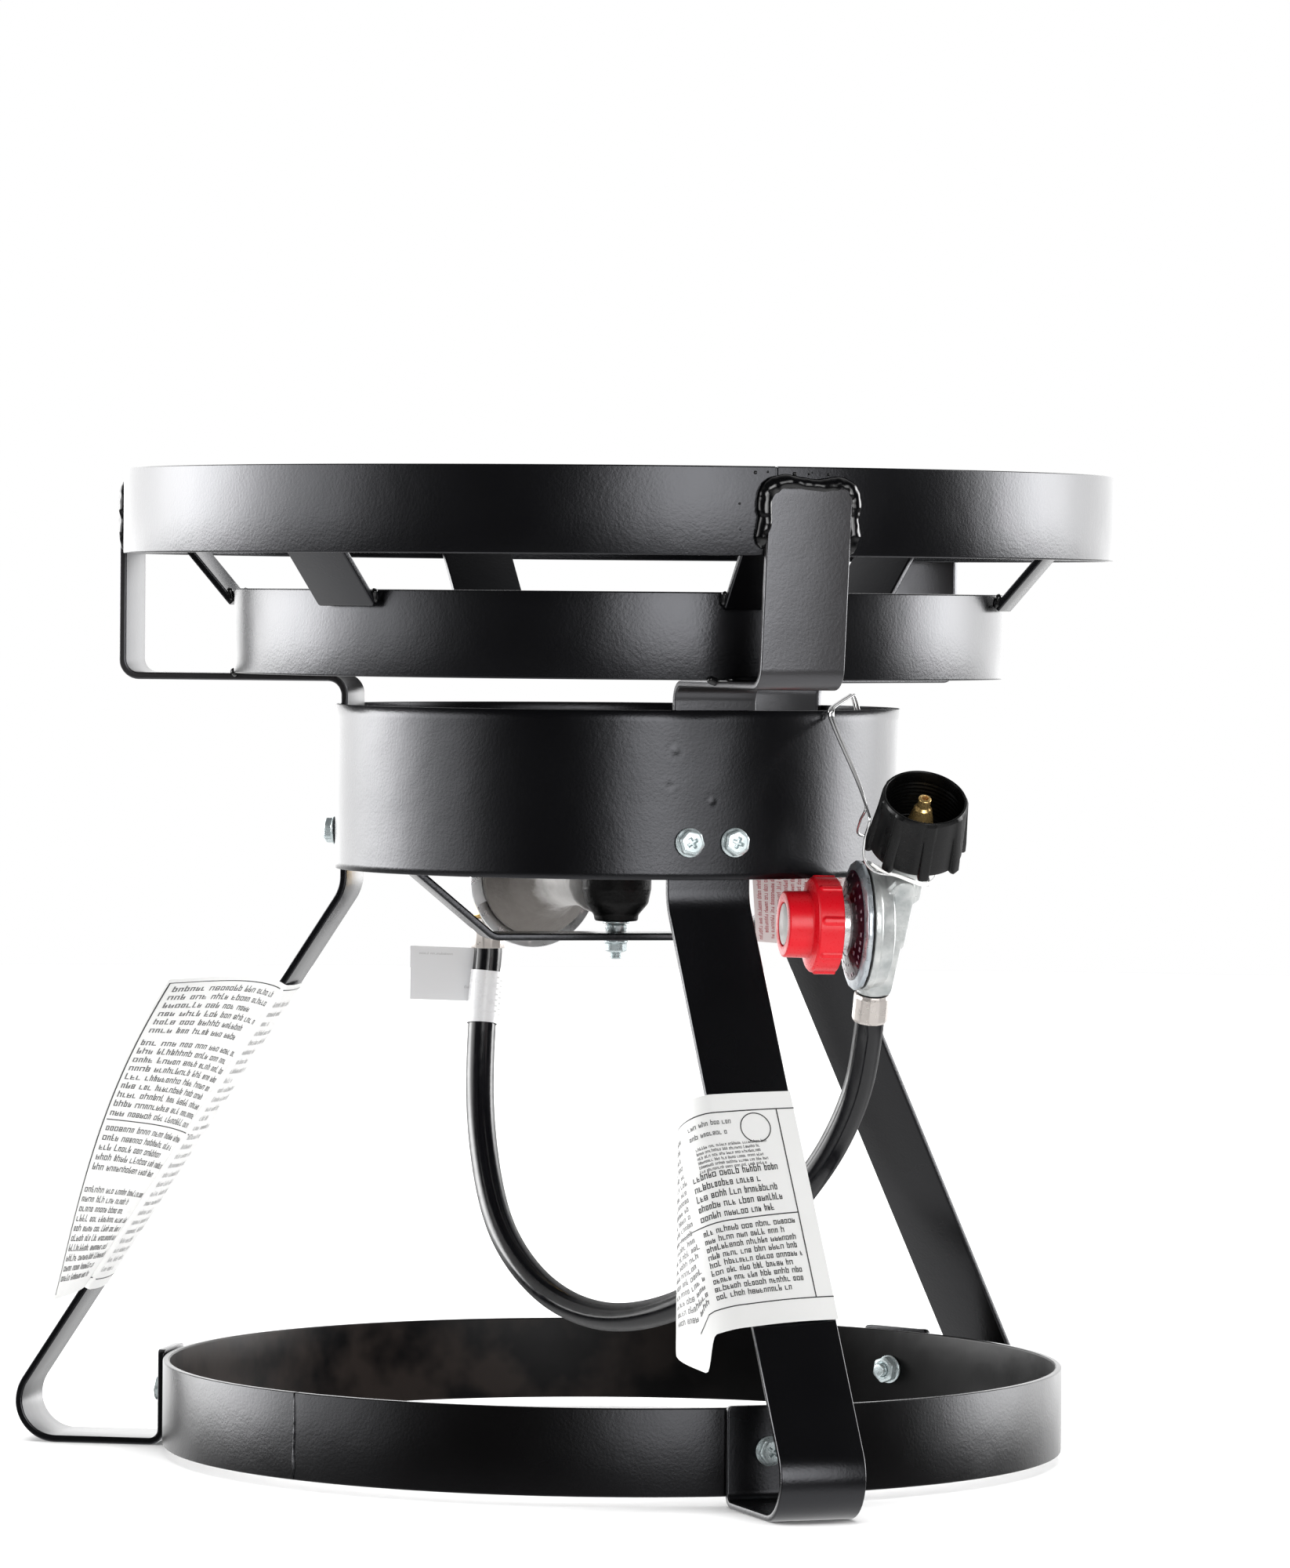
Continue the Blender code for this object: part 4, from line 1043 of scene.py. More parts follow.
# the stud, its washer and nuts, with a rolled thread
stud = [(0, 224.5), (2.0, 224.5)]
for z in (225.0 + 0.95 * i for i in range(9)):
    stud += [(2.62, z), (2.62, z + 0.15), (2.15, z + 0.5), (2.15, z + 0.62)]
stud += [(2.5, 234.0), (2.6, 309.0), (2.2, 309.5), (0, 309.5)]
lathe("stud", stud, AXIS, UP, ZINC, 48, loop=False, node="burner_stud")
lathe("washer", fillet([(2.8, 240.6), (6.0, 240.6), (6.0, 241.5), (2.8, 241.5)], 0.25, 3), AXIS, UP, ZINC, 64,
      node="burner_washer")
nut("nut_upper", "burner_nut_upper", AXIS, UP, 236.75, 12.0, 9.0, 2.8, 3.7, 4.6)
nut("nut_lower", "burner_nut_lower", AXIS, DOWN, -(BRACE_Z - 0.3), 4.0, 9.0, 2.8, 5.4, 5.4)

# ---- regulator ------------------------------------------------------------------------------
K = Vector((-0.980, -0.197, 0.016)).normalized()          # the way the knob points
ZK = (UP - K * K.z).normalized()
FK = -ZK.cross(K) if ZK.cross(K).y > 0 else ZK.cross(K)
C = Vector((108.0, -102.4, 245.0))
IN_A, OUT_A, IN_TILT, OUT_TILT = 16.6, 7.8, 38.0, 17.0
U, D = turned(ZK, FK, IN_TILT).normalized(), -turned(ZK, FK, OUT_TILT).normalized()
PIN, POUT = C - K * IN_A, C - K * OUT_A


def solid(profile, at, axis, seg, xhint):
    return lathe("lump", profile, at, axis, DIE_CAST, seg, xhint, loop=False)


def slab(outline, axis, w):
    """A block across the back of the body, outlined in (along K, along axis), edges rounded."""
    side = K.cross(axis).normalized()
    edge = fillet(outline, 3.0, 3)
    n = len(edge)
    cx, cy = sum(p[0] for p in edge) / n, sum(p[1] for p in edge) / n
    verts = [C + K * (cx + (a - cx) * k) + axis * (cy + (h - cy) * (1 + k) / 2) + side * s
             for s, k in ((-w, 0.86), (2.0 - w, 1.0), (w - 2.0, 1.0), (w, 0.86)) for a, h in edge]
    return make("lump", verts, skin(n, 4), DIE_CAST)


def fused(name, lumps, voxel, mat):
    """One casting with soft inner corners, out of closed lumps."""
    verts, faces = [], []
    for o in lumps:
        faces += [[len(verts) + v for v in f.vertices] for f in o.data.polygons]
        verts += [v.co.copy() for v in o.data.vertices]
        bpy.data.objects.remove(o, do_unlink=True)
    ob = placed(bpy.data.objects.new(name, mesh_of(name, verts, faces, mat)), mat)
    m = ob.modifiers.new("fuse", "REMESH")
    m.mode, m.voxel_size, m.adaptivity = "VOXEL", voxel * MM, 0.0
    s = ob.modifiers.new("soft", "SMOOTH")
    s.factor, s.iterations = 0.5, 4
    applied(ob).data.shade_smooth()
    ob.data.materials.clear()
    ob.data.materials.append(mat)
    return ob


back = fused("regulator_back", [
    solid([(0, -10.4), (22.5, -10.4), (26.2, -9.2), (27.6, -3.6), (28.5, -3.0), (28.5, -0.2), (0, -0.2)],
          C, K, 96, U),
    slab([(-6.0, -9.0), (-6.0, 26.0), (-9.6, 31.4), (-18.4, 32.2), (-19.2, 24.0), (-19.2, -9.0)], U, 8.2),
    slab([(-6.0, -6.0), (-19.2, -6.0), (-15.4, 27.0), (-14.6, 30.8), (-1.2, 30.8), (-4.0, 24.0)], D, 7.2),
    solid([(0, 18.0), (6.8, 18.0), (6.8, 46.3), (0, 46.3)], PIN, U, 48, K),
    solid([(0, 18.0), (6.9, 18.0), (7.1, 31.0), (0, 31.0)], POUT, D, 48, K)], 0.42, DIE_CAST)
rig.replaces(back, "regulator_body")


def crimp(a, r, h):
    """The crimped seam of the two halves: small teeth pressed round the rim."""
    return r + (0.28 * max(0.0, cos(radians(a * 18.0))) - 0.14 if r > 27.8 else 0.0), h


crimp_turns = [2.5 * i for i in range(144)]
bonnet = lathe("bonnet", fillet([(22.0, 0.65), (28.4, 0.65), (28.4, 3.1), (24.8, 4.0), (13.2, 6.6),
                                 (11.0, 7.0),
                                 (11.0, 12.2), (3.4, 12.2), (3.4, 9.2), (8.4, 9.2), (8.4, 6.2), (22.0, 2.6)],
                                [0, 0.9, 0.9, 1.4, 1.0, 0.5, 0.5, 0.4, 0, 0, 0.5, 0]),
               C, K, BONNET, xhint=U, turns=crimp_turns, shape=crimp, other=COLLAR,
               slot=lambda r, h: int(h > 6.8 and r > 3), node="regulator_bonnet")


# the printed ring on the bonnet's cone, with generic pressed marks
def cone_at(r, lift):
    """The height of a point lift above the bonnet's cone."""
    return 4.0 + 2.6 * (24.8 - r) / (24.8 - 13.2) + lift


def plate_shape(a, r, h):
    return r, h + (0.16 * uneven(a, 7, r * 0.4) if h > cone_at(r, 0.12) else 0.0)


plate = lathe("bonnet_plate", [(r, cone_at(r, lift)) for r, lift in ((13.7, 0.05), (24.2, 0.05), (24.3, 0.30),
                                                                     (19.0, 0.52), (13.6, 0.34))],
              C, K, MAROON, xhint=U, turns=crimp_turns, shape=plate_shape)
marks_v, marks_f = [], []
kx, ky, _ = basis(K, U)
for ring_r, count, tall in ((21.6, 40, 1.5), (17.2, 26, 1.2)):
    for i in range(count):
        if noise.noise(Vector((i * 0.7, ring_r, 0))) < -0.18:
            continue
        a0 = 360.0 / count * i
        half = 180.0 / count * (0.5 + 0.25 * noise.noise(Vector((i * 1.3, ring_r, 4))))
        n0 = len(marks_v)
        marks_v += [C + turned(kx, ky, a, r) + K * cone_at(r, 0.62) for r in (ring_r, ring_r + tall)
                    for a in (a0, a0 + half, a0 + 2 * half)]
        marks_f += [(n0, n0 + 3, n0 + 4, n0 + 1), (n0 + 1, n0 + 4, n0 + 5, n0 + 2)]
plate_ink = make("bonnet_marks", marks_v, marks_f, INK_LABEL)

# knob
KN, GRIP_R, GRIP_RIBS = C + K * 35.2, 20.9, 8


def knob_shape(a, r, h):
    """Lengthwise ribs round the grip, with round front ends."""
    if r > 20.3 and -23.2 < h < -12.9:
        across = radians(off(a, 0, 360 / GRIP_RIBS)) * GRIP_R
        r += 0.85 * ease((1.65 - hypot(across, max(0.0, h + 14.8))) / 0.5)
    return r, h


def grip_cuts(p, q):
    return (20, 0) if min(p[0], q[0]) > 20.7 and abs(p[1] - q[1]) > 2 else (1, 0)


knob_prof = fillet([(0, -1.3), (9.6, -1.3), (9.6, 0.0), (14.5, 0.0), (14.7, -10.8), (19.9, -11.9),
                    (20.9, -12.8),
                    (20.9, -23.3), (19.0, -23.3), (18.5, -14.6), (6.4, -13.2), (6.4, -20.0), (2.4, -20.0),
                    (2.4, -12.0), (0, -12.0)],
                   [0, 0.2, 0.35, 0.9, 0.7, 0.6, 0.5, 0.5, 0.5, 1.0, 0.4, 0.3, 0.2, 0.2, 0], 5, False)
knob = lathe("knob", divided(knob_prof, grip_cuts), KN, K, KNOB_RED, 288, U, False, knob_shape,
             body="control_knob", smooth=55, node="control_knob")
disc = lathe("knob_face", fillet([(0, -1.1), (9.2, -1.1), (9.2, -0.2), (0, -0.2)], [0, 0.1, 0.3, 0], 3,
                                 False),
             KN, K, KNOB_GREY, 72, U, False, body="control_knob", node="knob_disc")
spindle = lathe("spindle", fillet([(0, 3.9), (1.4, 3.9), (1.4, 8.9), (3.1, 8.9), (3.1, 14.9), (2.1, 15.1),
                                   (2.1, 22.9), (0, 22.9)], [0, 0.2, 0.1, 0.2, 0.3, 0.1, 0.3, 0], 2, False),
                C, K, BRASS, 40, U, False, body="control_knob", node="adjusting_screw")

# the range spring between the diaphragm and the button, pressed flat as the knob drives the button
SPRING_Z0, SPRING_RISE, SPRING_R, SPRING_WIRE, SPRING_TURNS = 0.95, 3.0, 5.2, 0.32, 4
steps = 12 * SPRING_TURNS
coil = bead("range_coil", [C + K * (SPRING_Z0 + SPRING_RISE * i / steps) + turned(kx, ky, 30.0 * i, SPRING_R)
                           for i in range(steps + 1)], SPRING_WIRE, 0, SPRING, 0.0, 2, node="range_spring")
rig.squash(coil, "spring_button_travel", axis=tuple(K), anchor=tuple(world(C + K * (SPRING_Z0 - SPRING_WIRE))),
          keep=0.2)

nipple = lathe("nipple", fillet([(1.6, 32.2), (5.0, 32.2), (5.0, 46.8), (6.7, 46.8), (6.7, 50.5), (9.6, 50.5),
                                 (9.6, 53.2), (6.4, 53.8), (6.4, 57.0), (3.9, 67.4), (2.7, 68.4), (2.9, 72.6),
                                 (1.6, 73.1)], [0, 0, 0.2, 0.2, 0.2, 0.5, 0.5, 0.4, 0.8, 1.5, 0.5, 0.5, 0.2]),
               PIN, U, BRASS, 72, K, node="inlet_nipple")

# coupling nut: broad ribs that stand out and hang past its lower edge
NUT_RIBS, NUT_BORE = 8, 16.6


def nut_shape(a, r, h):
    """Ribs round the outside, rounded at their lower ends, fading towards the mouth."""
    edge = ease((7.6 - abs(off(a, 0, 360 / NUT_RIBS))) / 2.2)
    if r > 18.2 and h < 73.0:
        t = clamp((h - 45.0) / 27.0)
        r += edge * (2.1 * (1 - t) + 0.4 * t)
        h -= 1.5 * edge if h < 47.0 else 0.0
    return r, h


def nut_cuts(p, q):
    """Ten parts for the outer wall, and a thread in 36 for the bore."""
    if abs(p[1] - q[1]) <= 6 or 16.8 < p[0] < 18:
        return 1, 0
    return (10, 0) if p[0] > 18 and q[0] > 18 else (36, 0.55) if p[0] > 16 else (1, 0)


nut_prof = fillet([(18.6, 45.6), (20.6, 45.6), (20.4, 49.2), (18.9, 71.6), (18.4, 73.3), (17.4, 73.3),
                   (NUT_BORE, 68.8), (NUT_BORE, 50.1), (7.1, 50.1), (7.1, 47.1), (18.4, 47.1)],
                  [0.4, 1.1, 1, 1, 0.4, 0.4, 1, 0.5, 0.3, 0.3, 0.2])
coupling = lathe("coupling", divided(nut_prof, nut_cuts), PIN, U, NUT_BLACK, 240, FK, shape=nut_shape,
                 body="coupling_nut", other=NUT_INSIDE, slot=lambda r, h: int(r < 17.3 and h > 49), smooth=50,
                 node="coupling_nut")

# outlet ferrule and hose
FER_R = POUT + D * 31.5
fer_r = lathe("ferrule_high", fillet([(6.85, 0.0), (7.5, 0.0), (7.75, 1.6), (7.75, 11.6), (7.45, 12.8),
                                      (6.85, 12.8)],
                                     [0.1, 0.3, 0.6, 0.6, 0.3, 0.1], 3),
              FER_R, D, FERRULE, 72, K, shape=crimped, node="ferrule_regulator")


def smooth_path(keys, n):
    """n even points on a smooth curve through keys, as the CAD has them."""
    fine = curve_points(keys, 24)
    for _ in range(60):
        eased = [b * 0.5 + (a + c) * 0.25 for a, b, c in zip(fine[1:], fine[2:-2], fine[3:])]
        fine = fine[:2] + eased + fine[-2:]
    s = [0.0]
    for p, q in zip(fine, fine[1:]):
        s.append(s[-1] + (q - p).length)
    out, k = [], 0
    for i in range(n):
        w = s[-1] * i / (n - 1)
        while k < len(s) - 2 and s[k + 1] < w:
            k += 1
        out.append(fine[k].lerp(fine[k + 1], (w - s[k]) / max(s[k + 1] - s[k], 1e-9)))
    return out


def curve_piece(name, node, pts, r, mat, res):
    cu = bpy.data.curves.new(name, "CURVE")
    cu.dimensions, cu.bevel_depth, cu.bevel_resolution, cu.use_fill_caps = "3D", r * MM, res, True
    sp = cu.splines.new("POLY")
    sp.points.add(len(pts) - 1)
    for q, p in zip(sp.points, pts):
        q.co = (*world(p), 1)
    sp.use_smooth = True
    cu.materials.append(mat)
    return placed(bpy.data.objects.new(name, cu), mat, node=node)


HOSE_FREE = ((-62.8, 110.6, 189.0), (-63.0, 98.0, 147.0), (-56.2, 73.0, 107.0), (-44.0, 52.0, 83.0),
             (-24.8, 30.0, 66.6), (0.4, 6.0, 61.0), (30.0, -20.0, 69.6), (57.5, -40.0, 90.4),
             (85.0, -58.0, 125.6), (99.0, -67.0, 148.2), (108.4, -76.0, 173.0))
hose_pts = smooth_path([FER_B + DOWN * s for s in (0.8, 12.0, 18.0)] + [Vector(p) for p in HOSE_FREE]
                       + [FER_R + D * s for s in (17.0, 12.0, 0.8)], 160)
hose = curve_piece("hose", "gas_hose", hose_pts, 6.5, HOSE_MAT, 10)

# ---- hanger wire and strip ------------------------------------------------------------------
NECK_Y = -U.cross(K).normalized() if U.cross(K).y > 0 else U.cross(K).normalized()
# A loop round the regulator's neck (height along U, angle and radius), then up over the shield's rim.
LOOP = ((66, 11, 25.0), (54, 14, 25.6), (44, 20, 25.0), (39.4, 30, 21.0), (37.6, 54, 13.0), (34.8, 90, 10.4),
        (29.6, 135, 9.9), (26.4, 180, 9.6), (29.6, 230, 9.9), (35.6, 275, 12.0), (39.4, 312, 19.0),
        (44, 338, 25.0), (54, 346, 25.6), (66, 352, 25.0))
STRAND = ((107.6, -54.0, 333.5), (106.0, -57.9, 341.2), (104.9, -60.2, 344.6), (104.2, -61.6, 345.6),
          (103.4, -63.8, 345.2), (99.5, -73.9, 343.0), (95.5, -84.9, 340.6), (94.7, -87.2, 339.8),
          (94.3, -88.9, 338.4), (94.4, -89.6, 335.6))
FLAT_STRIP = ((43.0, 24, 22.6), (41.0, 36, 19.4), (38.4, 58, 14.2), (35.0, 88, 11.6), (32.4, 118, 11.2),
              (32.6, 150, 11.4), (36.0, 178, 11.2))


def neck(keys):
    return [PIN + U * s + turned(K, NECK_Y, a, r) for s, a, r in keys]


def strand(side):
    return [Vector(p) + tangent(47.0) * side for p in STRAND]


def rounded(keys, per):
    """Points on a curve through keys that doesn't swing out between them."""
    ways = directions(keys)
    out = []
    for a, b, wa, wb in zip(keys, keys[1:], ways, ways[1:]):
        h = (b - a).length
        for t in (k / per for k in range(per)):
            out.append(a * (2 * t ** 3 - 3 * t * t + 1) + wa * (h * (t ** 3 - 2 * t * t + t))
                       + b * (3 * t * t - 2 * t ** 3) + wb * (h * (t ** 3 - t * t)))
    return out + [keys[-1]]


wire = curve_piece("wire", "hanger_wire", rounded(strand(-1.1) + neck(LOOP) + strand(1.1)[::-1], 8), 0.6,
                   WIRE, 3)
strip_w, strip_t = 2.0, 0.5
strip_pts = rounded(neck(FLAT_STRIP), 6)
verts = []
for p, d in zip(strip_pts, directions(strip_pts)):
    out = p - PIN - U * (p - PIN).dot(U)
    out = (out - d * out.dot(d)).normalized()
    w, t = strip_w / 2, strip_t / 2
    verts += [p + d.cross(out) * u + out * v
              for u, v in fillet([(-w, -t), (w, -t), (w, t), (-w, t)], strip_t * 0.4, 2)]
strip = make("hanger_strip", verts, skin(len(verts) // len(strip_pts), len(strip_pts)), STRIP, smooth=50)


# ---- labels ---------------------------------------------------------------------------------
class Sheet:
    """A thin sheet. at(s, t) is its middle surface, s and t from 0 to 1, and its print is on the
    side that faces towards."""

    def __init__(self, name, at, na, nb, thick, mat, towards):
        self.at = at
        self.side = 1.0 if self.normal(0.2, 0.2).dot(towards) > 0 else -1.0
        grid = [(i / na, j / nb) for j in range(nb + 1) for i in range(na + 1)]
        verts = [at(s, t) + self.normal(s, t) * h for h in (thick / 2, -thick / 2) for s, t in grid]
        w, under = na + 1, len(grid)
        faces = []
        for a in (j * w + i for j in range(nb) for i in range(na)):
            b = under + a
            faces += [(a, a + 1, a + w + 1, a + w), (b + w, b + w + 1, b + 1, b)]
        rim = (list(range(w)) + [j * w + na for j in range(1, nb + 1)]
               + [nb * w + i for i in range(na - 1, -1, -1)] + [j * w for j in range(nb - 1, 0, -1)])
        faces += [(b, a, under + a, under + b) for a, b in zip(rim, rim[1:] + rim[:1])]
        self.ob = make(name, verts, faces, mat, smooth=60)

    def normal(self, s, t):
        e = 1e-3
        s0, s1, t0, t1 = max(0.0, s - e), min(1.0, s + e), max(0.0, t - e), min(1.0, t + e)
        return (self.at(s1, t) - self.at(s0, t)).cross(self.at(s, t1) - self.at(s, t0)).normalized()

    def above(self, s, t, lift=0.2):
        """A point lift above the printed side."""
        return self.at(s, t) + self.normal(s, t) * (self.side * lift)

    def printed(self, name, marks, mat, lift=0.2):
        """Flat ink marks, each (s0, t0, s1, t1), bent with the sheet."""
        verts, faces = [], []
        for s0, t0, s1, t1 in marks:
            n = max(1, int(abs(s1 - s0) / 0.03), int(abs(t1 - t0) / 0.03))
            tall = abs(t1 - t0) > abs(s1 - s0)
            faces += [(a, a + 1, a + 3, a + 2) for a in range(len(verts), len(verts) + 2 * n, 2)]
            for k in range(n + 1):
                s, t = s0 + (s1 - s0) * k / n, t0 + (t1 - t0) * k / n
                verts += [self.above(*q, lift) for q in (((s0, t), (s1, t)) if tall else ((s, t0), (s, t1)))]
        return make(name, verts, faces, mat, smooth=60)


def greeked(s0, s1, t0, pitch, lines, tall, wide, seed, short, flip=False):
    """Lines of meaningless strokes that stand for small print: s0 to s1 across, pitch down. Each
    mark takes the room of a letter and is made of two or three random bars. With flip the lines
    start at s1."""
    bar_s, bar_t = wide * 0.24, tall * 0.20

    def pick(i, k, salt):
        return noise.noise(Vector((i * 1.37 + salt, k * 2.11, seed + salt * 0.7)))
    out = []
    for k in range(lines):
        s, t = s0, t0 + pitch * k
        end = s1 - (s1 - s0) * short * abs(noise.noise(Vector((k * 1.7, seed, 0)))) * 2
        i = run = 0
        while s < end:
            if run > 2 and pick(i, k, 3.1) < -0.10 or run > 9:
                s += wide * 0.7                      # a gap between words
                run = 0
            else:
                w = wide * (0.78 + 0.3 * pick(i, k, 1.7))
                up = tall * 0.42 if pick(i, k, 5.3) > 0.16 else 0.0
                shape = pick(i, k, 8.9)
                out.append((s, t - up, s + bar_s, t + tall))
                if shape > -0.22:
                    out.append((s + w - bar_s, t if shape > 0.2 else t + tall * 0.2, s + w, t + tall))
                if shape < 0.12:
                    out.append((s, t + tall - bar_t, s + w, t + tall))
                if shape > -0.1:
                    out.append((s, t, s + w, t + bar_t))
                if -0.3 < shape < -0.05:
                    out.append((s, t + tall * 0.42, s + w * 0.85, t + tall * 0.42 + bar_t))
                s += w + wide * 0.22
                run += 1
            i += 1
    return [(s0 + s1 - c, b, s0 + s1 - a, d) for a, b, c, d in out] if flip else out


def print_on(sheet, wide, high, flip, pieces):
    """Prints on a label of wide x high mm. A row of 4 numbers is a rule's corners, and a row of 9
    is what greeked takes, all in mm."""
    for name, mat, rows in pieces:
        marks = []
        for row in rows:
            if len(row) == 4:
                marks.append(tuple(v / size for v, size in zip(row, (wide, high) * 2)))
            else:
                s0, s1, t0, pitch, n, tall, w, seed, short = row
                marks += greeked(s0 / wide, s1 / wide, t0 / high, pitch / high, n, tall / high, w / wide,
                                 seed,
                                 short, flip)
        sheet.printed(name, marks, mat)


# the label round the front leg: s runs from its right edge to the left and round the back
er, et = radial(LEGS["front"]), tangent(LEGS["front"])
along, out_n = er * sin(SLANT) - UP * cos(SLANT), er * cos(SLANT) + UP * sin(SLANT)


def leg_point(er, z):
    """The strap's centreline point at height z on the slant."""
    return er * (p_foot[0] - (z - p_foot[1]) * tan(SLANT)) + UP * z


F_TOP, F_LEN, F_WIDE, F_FLAT = 174.6, 109.0, 88.0, 55.0
CURL = 2.6                                         # radians the label goes round before it is flat
f_at = leg_point(er, F_TOP) + out_n * (T2 + 0.35)


def front_label(s, t):
    a = s * F_WIDE
    flap = 15.5 * ease((a - F_FLAT) / 8.0) - 0.86 * max(0.0, a - F_FLAT - 8.0)
    climb = 0.035 + 0.055 * sin(pi / 2 * min(1.0, t / 0.5)) * (1 - 1.3 * max(0.0, t - 0.6))
    v = t * (F_LEN + 2.0) + flap * t ** 6 + climb * min(a, 53.0)
    vv = min(1.0, v / F_LEN)
    u0, u1, R = 19.3 + 0.5 * vv, -16.5 - 4.0 * vv, 11.5 + 12.5 * vv
    past = a - (u0 - u1)                               # how far round the curl
    if past <= 0:
        u, n = u0 - a, 0.9 * sin(pi * min(1.0, a / (u0 - u1))) * (0.3 + vv)
    else:
        al = min(past / R, CURL)
        rest = past - al * R
        u, n = u1 - R * sin(al) - cos(al) * rest, -R * (1 - cos(al)) - sin(al) * rest
    return f_at + et * u + out_n * (n + 0.18 * sin(2.2 * t + a * 0.03)) + along * v


label = Sheet("label_front", front_label, 72, 44, 0.22, PAPER, out_n)
foot, rule = F_LEN - 11.0, 0.55
print_on(label, F_WIDE, F_LEN, True, (
    ("label_front_rules", INK, ((0, 8, 84, 8 + rule), (0, foot, 62, foot + rule), (8, 8, 8 + rule, foot),
                                (8, 57.5, 70, 57.5 + rule))),
    ("label_front_text", INK, ((13, 52, 34.5, 4.7, 5, 2.35, 1.75, 1.0, 0.45),
                               (10.5, 52, 60.5, 3.9, 9, 2.1, 1.65, 2.0, 0.25))),
    ("label_front_fine", INK_FINE, ((16, 48, 22.5, 2.05, 6, 1.05, 0.85, 3.0, 0.2),
                                    (30, 50, 12.0, 4.6, 2, 1.7, 1.4, 4.0, 0.3),
                                    (56, 76, 14.0, 3.9, 21, 2.0, 1.6, 6.0, 0.1)))))
# a plain ring where a mark would be
ring_v = [label.above((19.5 + r * cos(t)) / F_WIDE, (16.5 + r * sin(t)) / F_LEN)
          for t in (pi / 24 * i for i in range(48)) for r in (6.5, 7.0)]
make("label_front_ring", ring_v, [(i, i + 1, (i + 3) % 96, (i + 2) % 96) for i in range(0, 96, 2)], INK)

# the label round the left leg: a free flap in front of the strap, and a part that wraps its face
er_l, et_l = radial(LEGS["left"]), tangent(LEGS["left"])
L_TOP, L_BOT, L_FLAP, L_WRAP, L_TURN = 212.0, 71.5, 52.0, 36.0, 2.6
in_n = -(er_l * cos(SLANT) + UP * sin(SLANT))


def left_label(s, t):
    """s from the flap's free edge (0), over the crease (0.59), to the far edge of the wrap (1)."""
    c = leg_point(er_l, L_TOP + (L_BOT - L_TOP) * t) + et_l * (STRAP_W / 2 + 0.5)
    fold = L_FLAP / (L_FLAP + L_WRAP)
    if s <= fold:
        k = 1 - s / fold                               # 0 at the crease, 1 at the free edge
        wide = 50.5 * (1 - t) ** 1.15 + 33.0 * t * (1 - t) * 0.85 + 10.5 * t
        deep = -sqrt(max(0.0, L_FLAP ** 2 - wide ** 2)) * 0.92
        lift = 1.6 - 3.2 * t + 8.5 * sin(pi * t)
        edge, mid = Vector((-wide, deep, lift)), Vector((-wide * 0.16, deep * 0.62, lift * 0.3))
        return c + mid * (2 * k * (1 - k)) + edge * (k * k) + UP * (2.6 * sin(pi * k) * (1 - t))
    k = (s - fold) / (1 - fold) * L_WRAP
    q = L_TURN * pi / 2
    if k < q:
        return c - et_l * (L_TURN * (1 - cos(k / L_TURN))) + in_n * (0.9 * L_TURN * sin(k / L_TURN))
    return c - et_l * (L_TURN + k - q) + in_n * (0.9 * L_TURN + 0.8 * sin((k - q) * 0.09))


label = Sheet("label_left", left_label, 66, 50, 0.22, PAPER, FRONT)
L_HIGH = (L_TOP - L_BOT) / cos(SLANT)
print_on(label, L_FLAP + L_WRAP, L_HIGH, False, (
    ("label_left_rules", INK, ((0.8, 2.5, 1.3, L_HIGH - 2.0), (1, 2.5, 88, 3.0), (2, 82.0, 60, 82.5),
                               (50, L_HIGH - 6.0, 88, L_HIGH - 5.4))),
    ("label_left_text", INK_FINE, ((3, 50, 6.0, 5.0, 6, 2.4, 1.95, 11.0, 0.25),
                                   (2.5, 50, 38.5, 4.9, 9, 2.4, 1.9, 12.0, 0.15),
                                   (3, 50, 85.5, 4.9, 5, 2.4, 1.9, 13.0, 0.4),
                                   (2.5, 50, 116.0, 4.6, 10, 2.3, 1.8, 14.0, 0.3))),
    ("label_left_fine", INK_PALE, ((55, 84, 10.0, 5.2, 29, 2.1, 2.2, 15.0, 0.6),))))


# the pink tag that hangs on the brace's right slope
def pink_tag(s, t):
    p = Vector((61.0, -14.0, 267.0)).lerp(Vector((106.0, -6.0, 267.0)), s)
    q = Vector((63.2, -15.0, 233.6)).lerp(Vector((100.0, -8.0, 231.0)), s)
    return p.lerp(q, t) + FRONT * (1.6 * sin(pi * s) + 1.2 * sin(2.6 * t))


tag_marks = [(b, a, d, c) for a, b, c, d in greeked(0.05, 0.96, 0.05, 0.070, 13, 0.034, 0.030, 31.0, 0.15)]
Sheet("tag_pink", pink_tag, 16, 14, 0.25, PINK_PAPER, FRONT).printed("tag_pink_text", tag_marks, INK_RED)


# the white sleeve label wound round the hose, and the flag label behind it
def hose_at(z):
    """The hose's centre and direction where it passes height z, near its burner end."""
    for p, q in zip(hose_pts, hose_pts[1:]):
        if p.z >= z >= q.z:
            return p.lerp(q, (p.z - z) / max(p.z - q.z, 1e-9)), (q - p).normalized()
    return hose_pts[0], DOWN


SLEEVE_TOP, SLEEVE_LONG, SLEEVE_LOOSE = 213.0, 24.6, 0.86


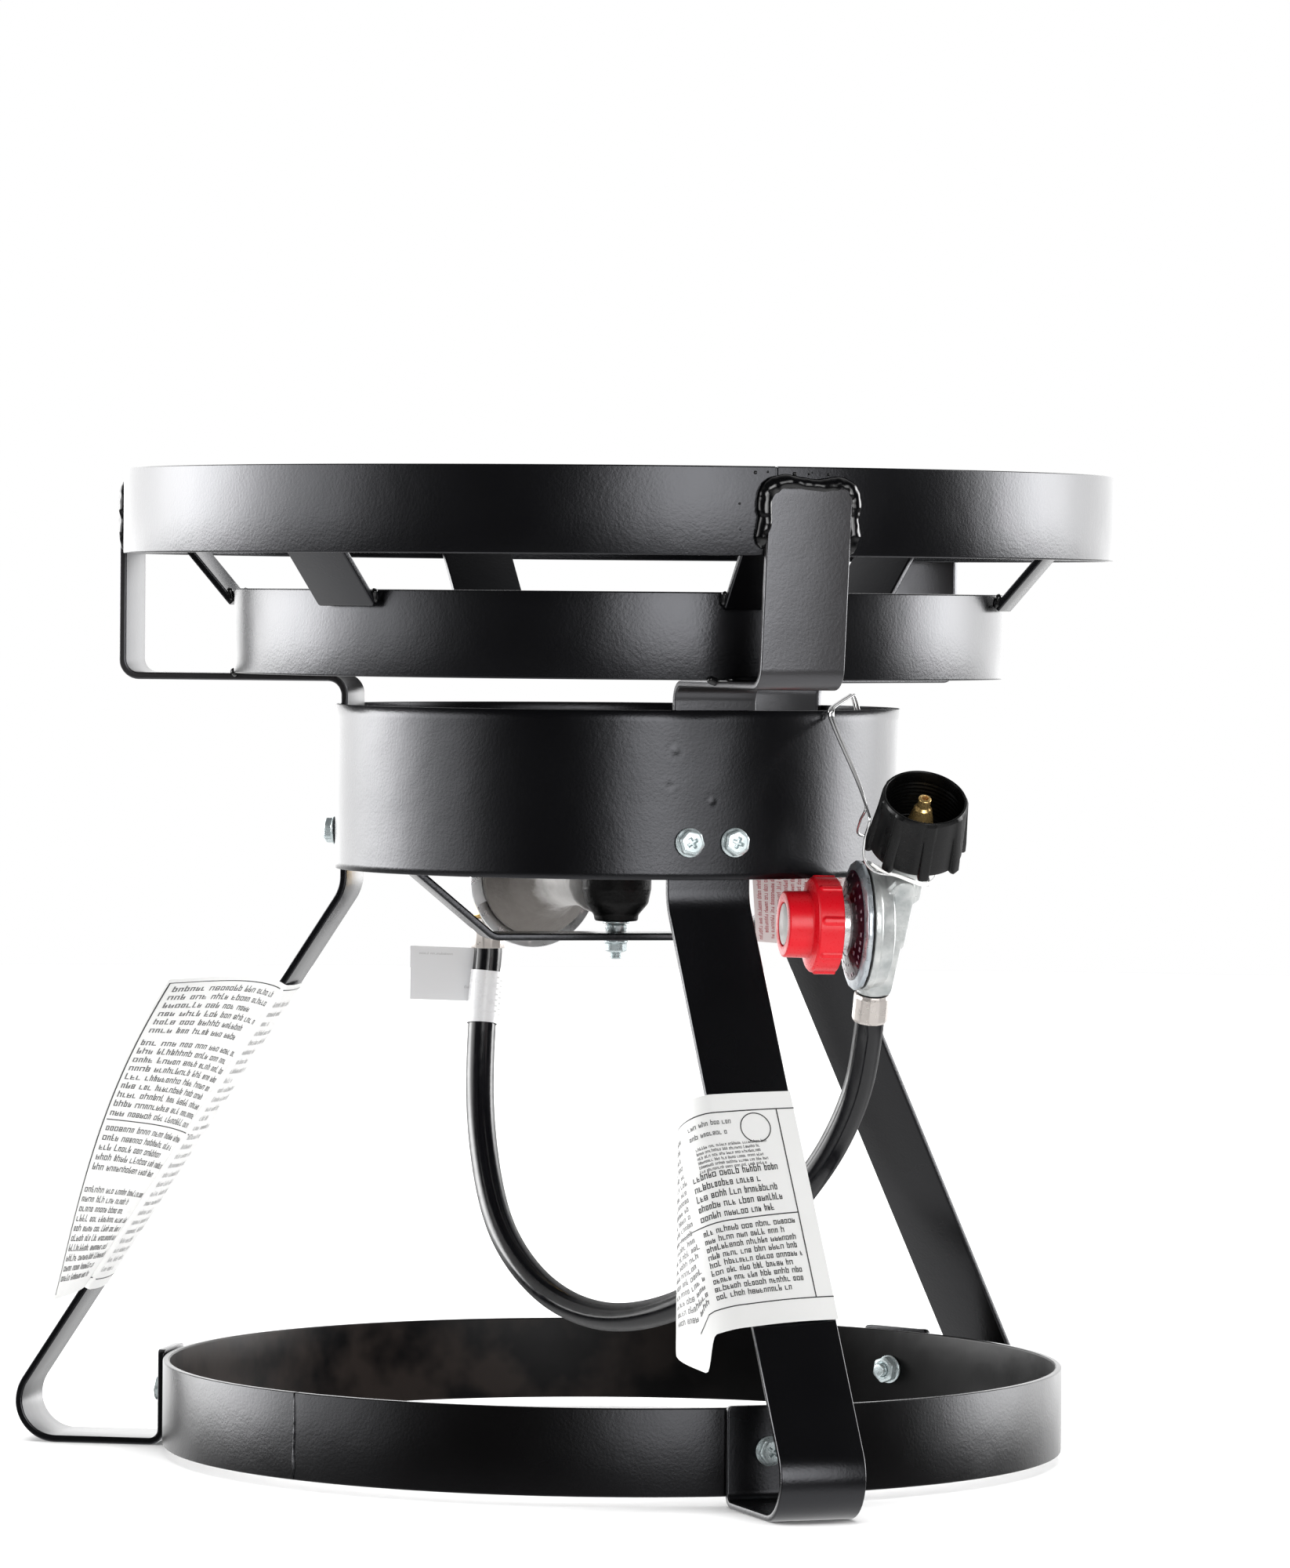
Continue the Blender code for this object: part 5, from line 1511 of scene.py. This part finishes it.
def sleeve(s, t):
    c, d = hose_at(SLEEVE_TOP - SLEEVE_LONG * t)
    x, y, _ = basis(d)
    loose = max(0.0, s - SLEEVE_LOOSE) / (1 - SLEEVE_LOOSE)
    return c + turned(x, y, 40.0 - 430.0 * s, 6.95 + 0.35 * s + 3.4 * loose * loose)


wound = Sheet("hose_sleeve", sleeve, 80, 6, 0.2, SLEEVE_MAT,
              sleeve(0.2, 0.2) - hose_at(SLEEVE_TOP - SLEEVE_LONG * 0.2)[0])
dashes = [(s, t, s + 0.035, t + 0.028) for s, t in ((0.83 + 0.05 * (k % 2), 0.10 + 0.055 * k)
                                                    for k in range(14))]
sleeve_marks = wound.printed("sleeve_marks", dashes, INK_PALE, 0.18)
c_flag = hose_at(222.0)[0]


def flag(s, t):
    return Vector((c_flag.x - 6.0 - 30.5 * s, c_flag.y + 3.0 + 1.2 * sin(3.0 * s), 223.4 - 25.0 * t
                   + 0.8 * s))


flag_label = Sheet("hose_flag", flag, 12, 10, 0.25, FLAG_PAPER, FRONT)
flag_marks = flag_label.printed("flag_marks", greeked(0.35, 0.85, 0.12, 0.2, 1, 0.03, 0.035, 21.0, 0.1)
                                + greeked(0.02, 0.2, 0.72, 0.2, 1, 0.04, 0.04, 22.0, 0.1), INK_PALE)

# ---- the CAD pieces that stay ---------------------------------------------------------------
inner = {"diaphragm": SEAL, "valve_poppet": BRASS, "spring_button": ZINC}
for node_name, mat in inner.items():
    ob = frame["nodes"][node_name]
    if not ob.material_slots:
        ob.data.materials.append(mat)
    for place in ob.material_slots:
        place.material = mat

# ---- the free cord --------------------------------------------------------------------------
hose_long = sum((q - p).length for p, q in zip(hose_pts, hose_pts[1:])) * MM
regulator = [back, bonnet, plate, plate_ink, knob, disc, spindle, nipple, coupling, fer_r, fer_b, wire, strip,
             wound.ob, sleeve_marks, flag_label.ob, flag_marks, coil]
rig.cord(hose, exit=tuple(world(hose_pts[0])), length=round(hose_long, 3), diameter=0.013, far_end="fitting",
        stiffness="medium", lay="hanging", with_pieces=regulator + [frame["nodes"][n] for n in inner])

box_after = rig.bounds()
with open("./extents.json", "w") as f:
    json.dump({"cad": [list(v) for v in box_before], "visual": [list(v) for v in box_after]}, f)
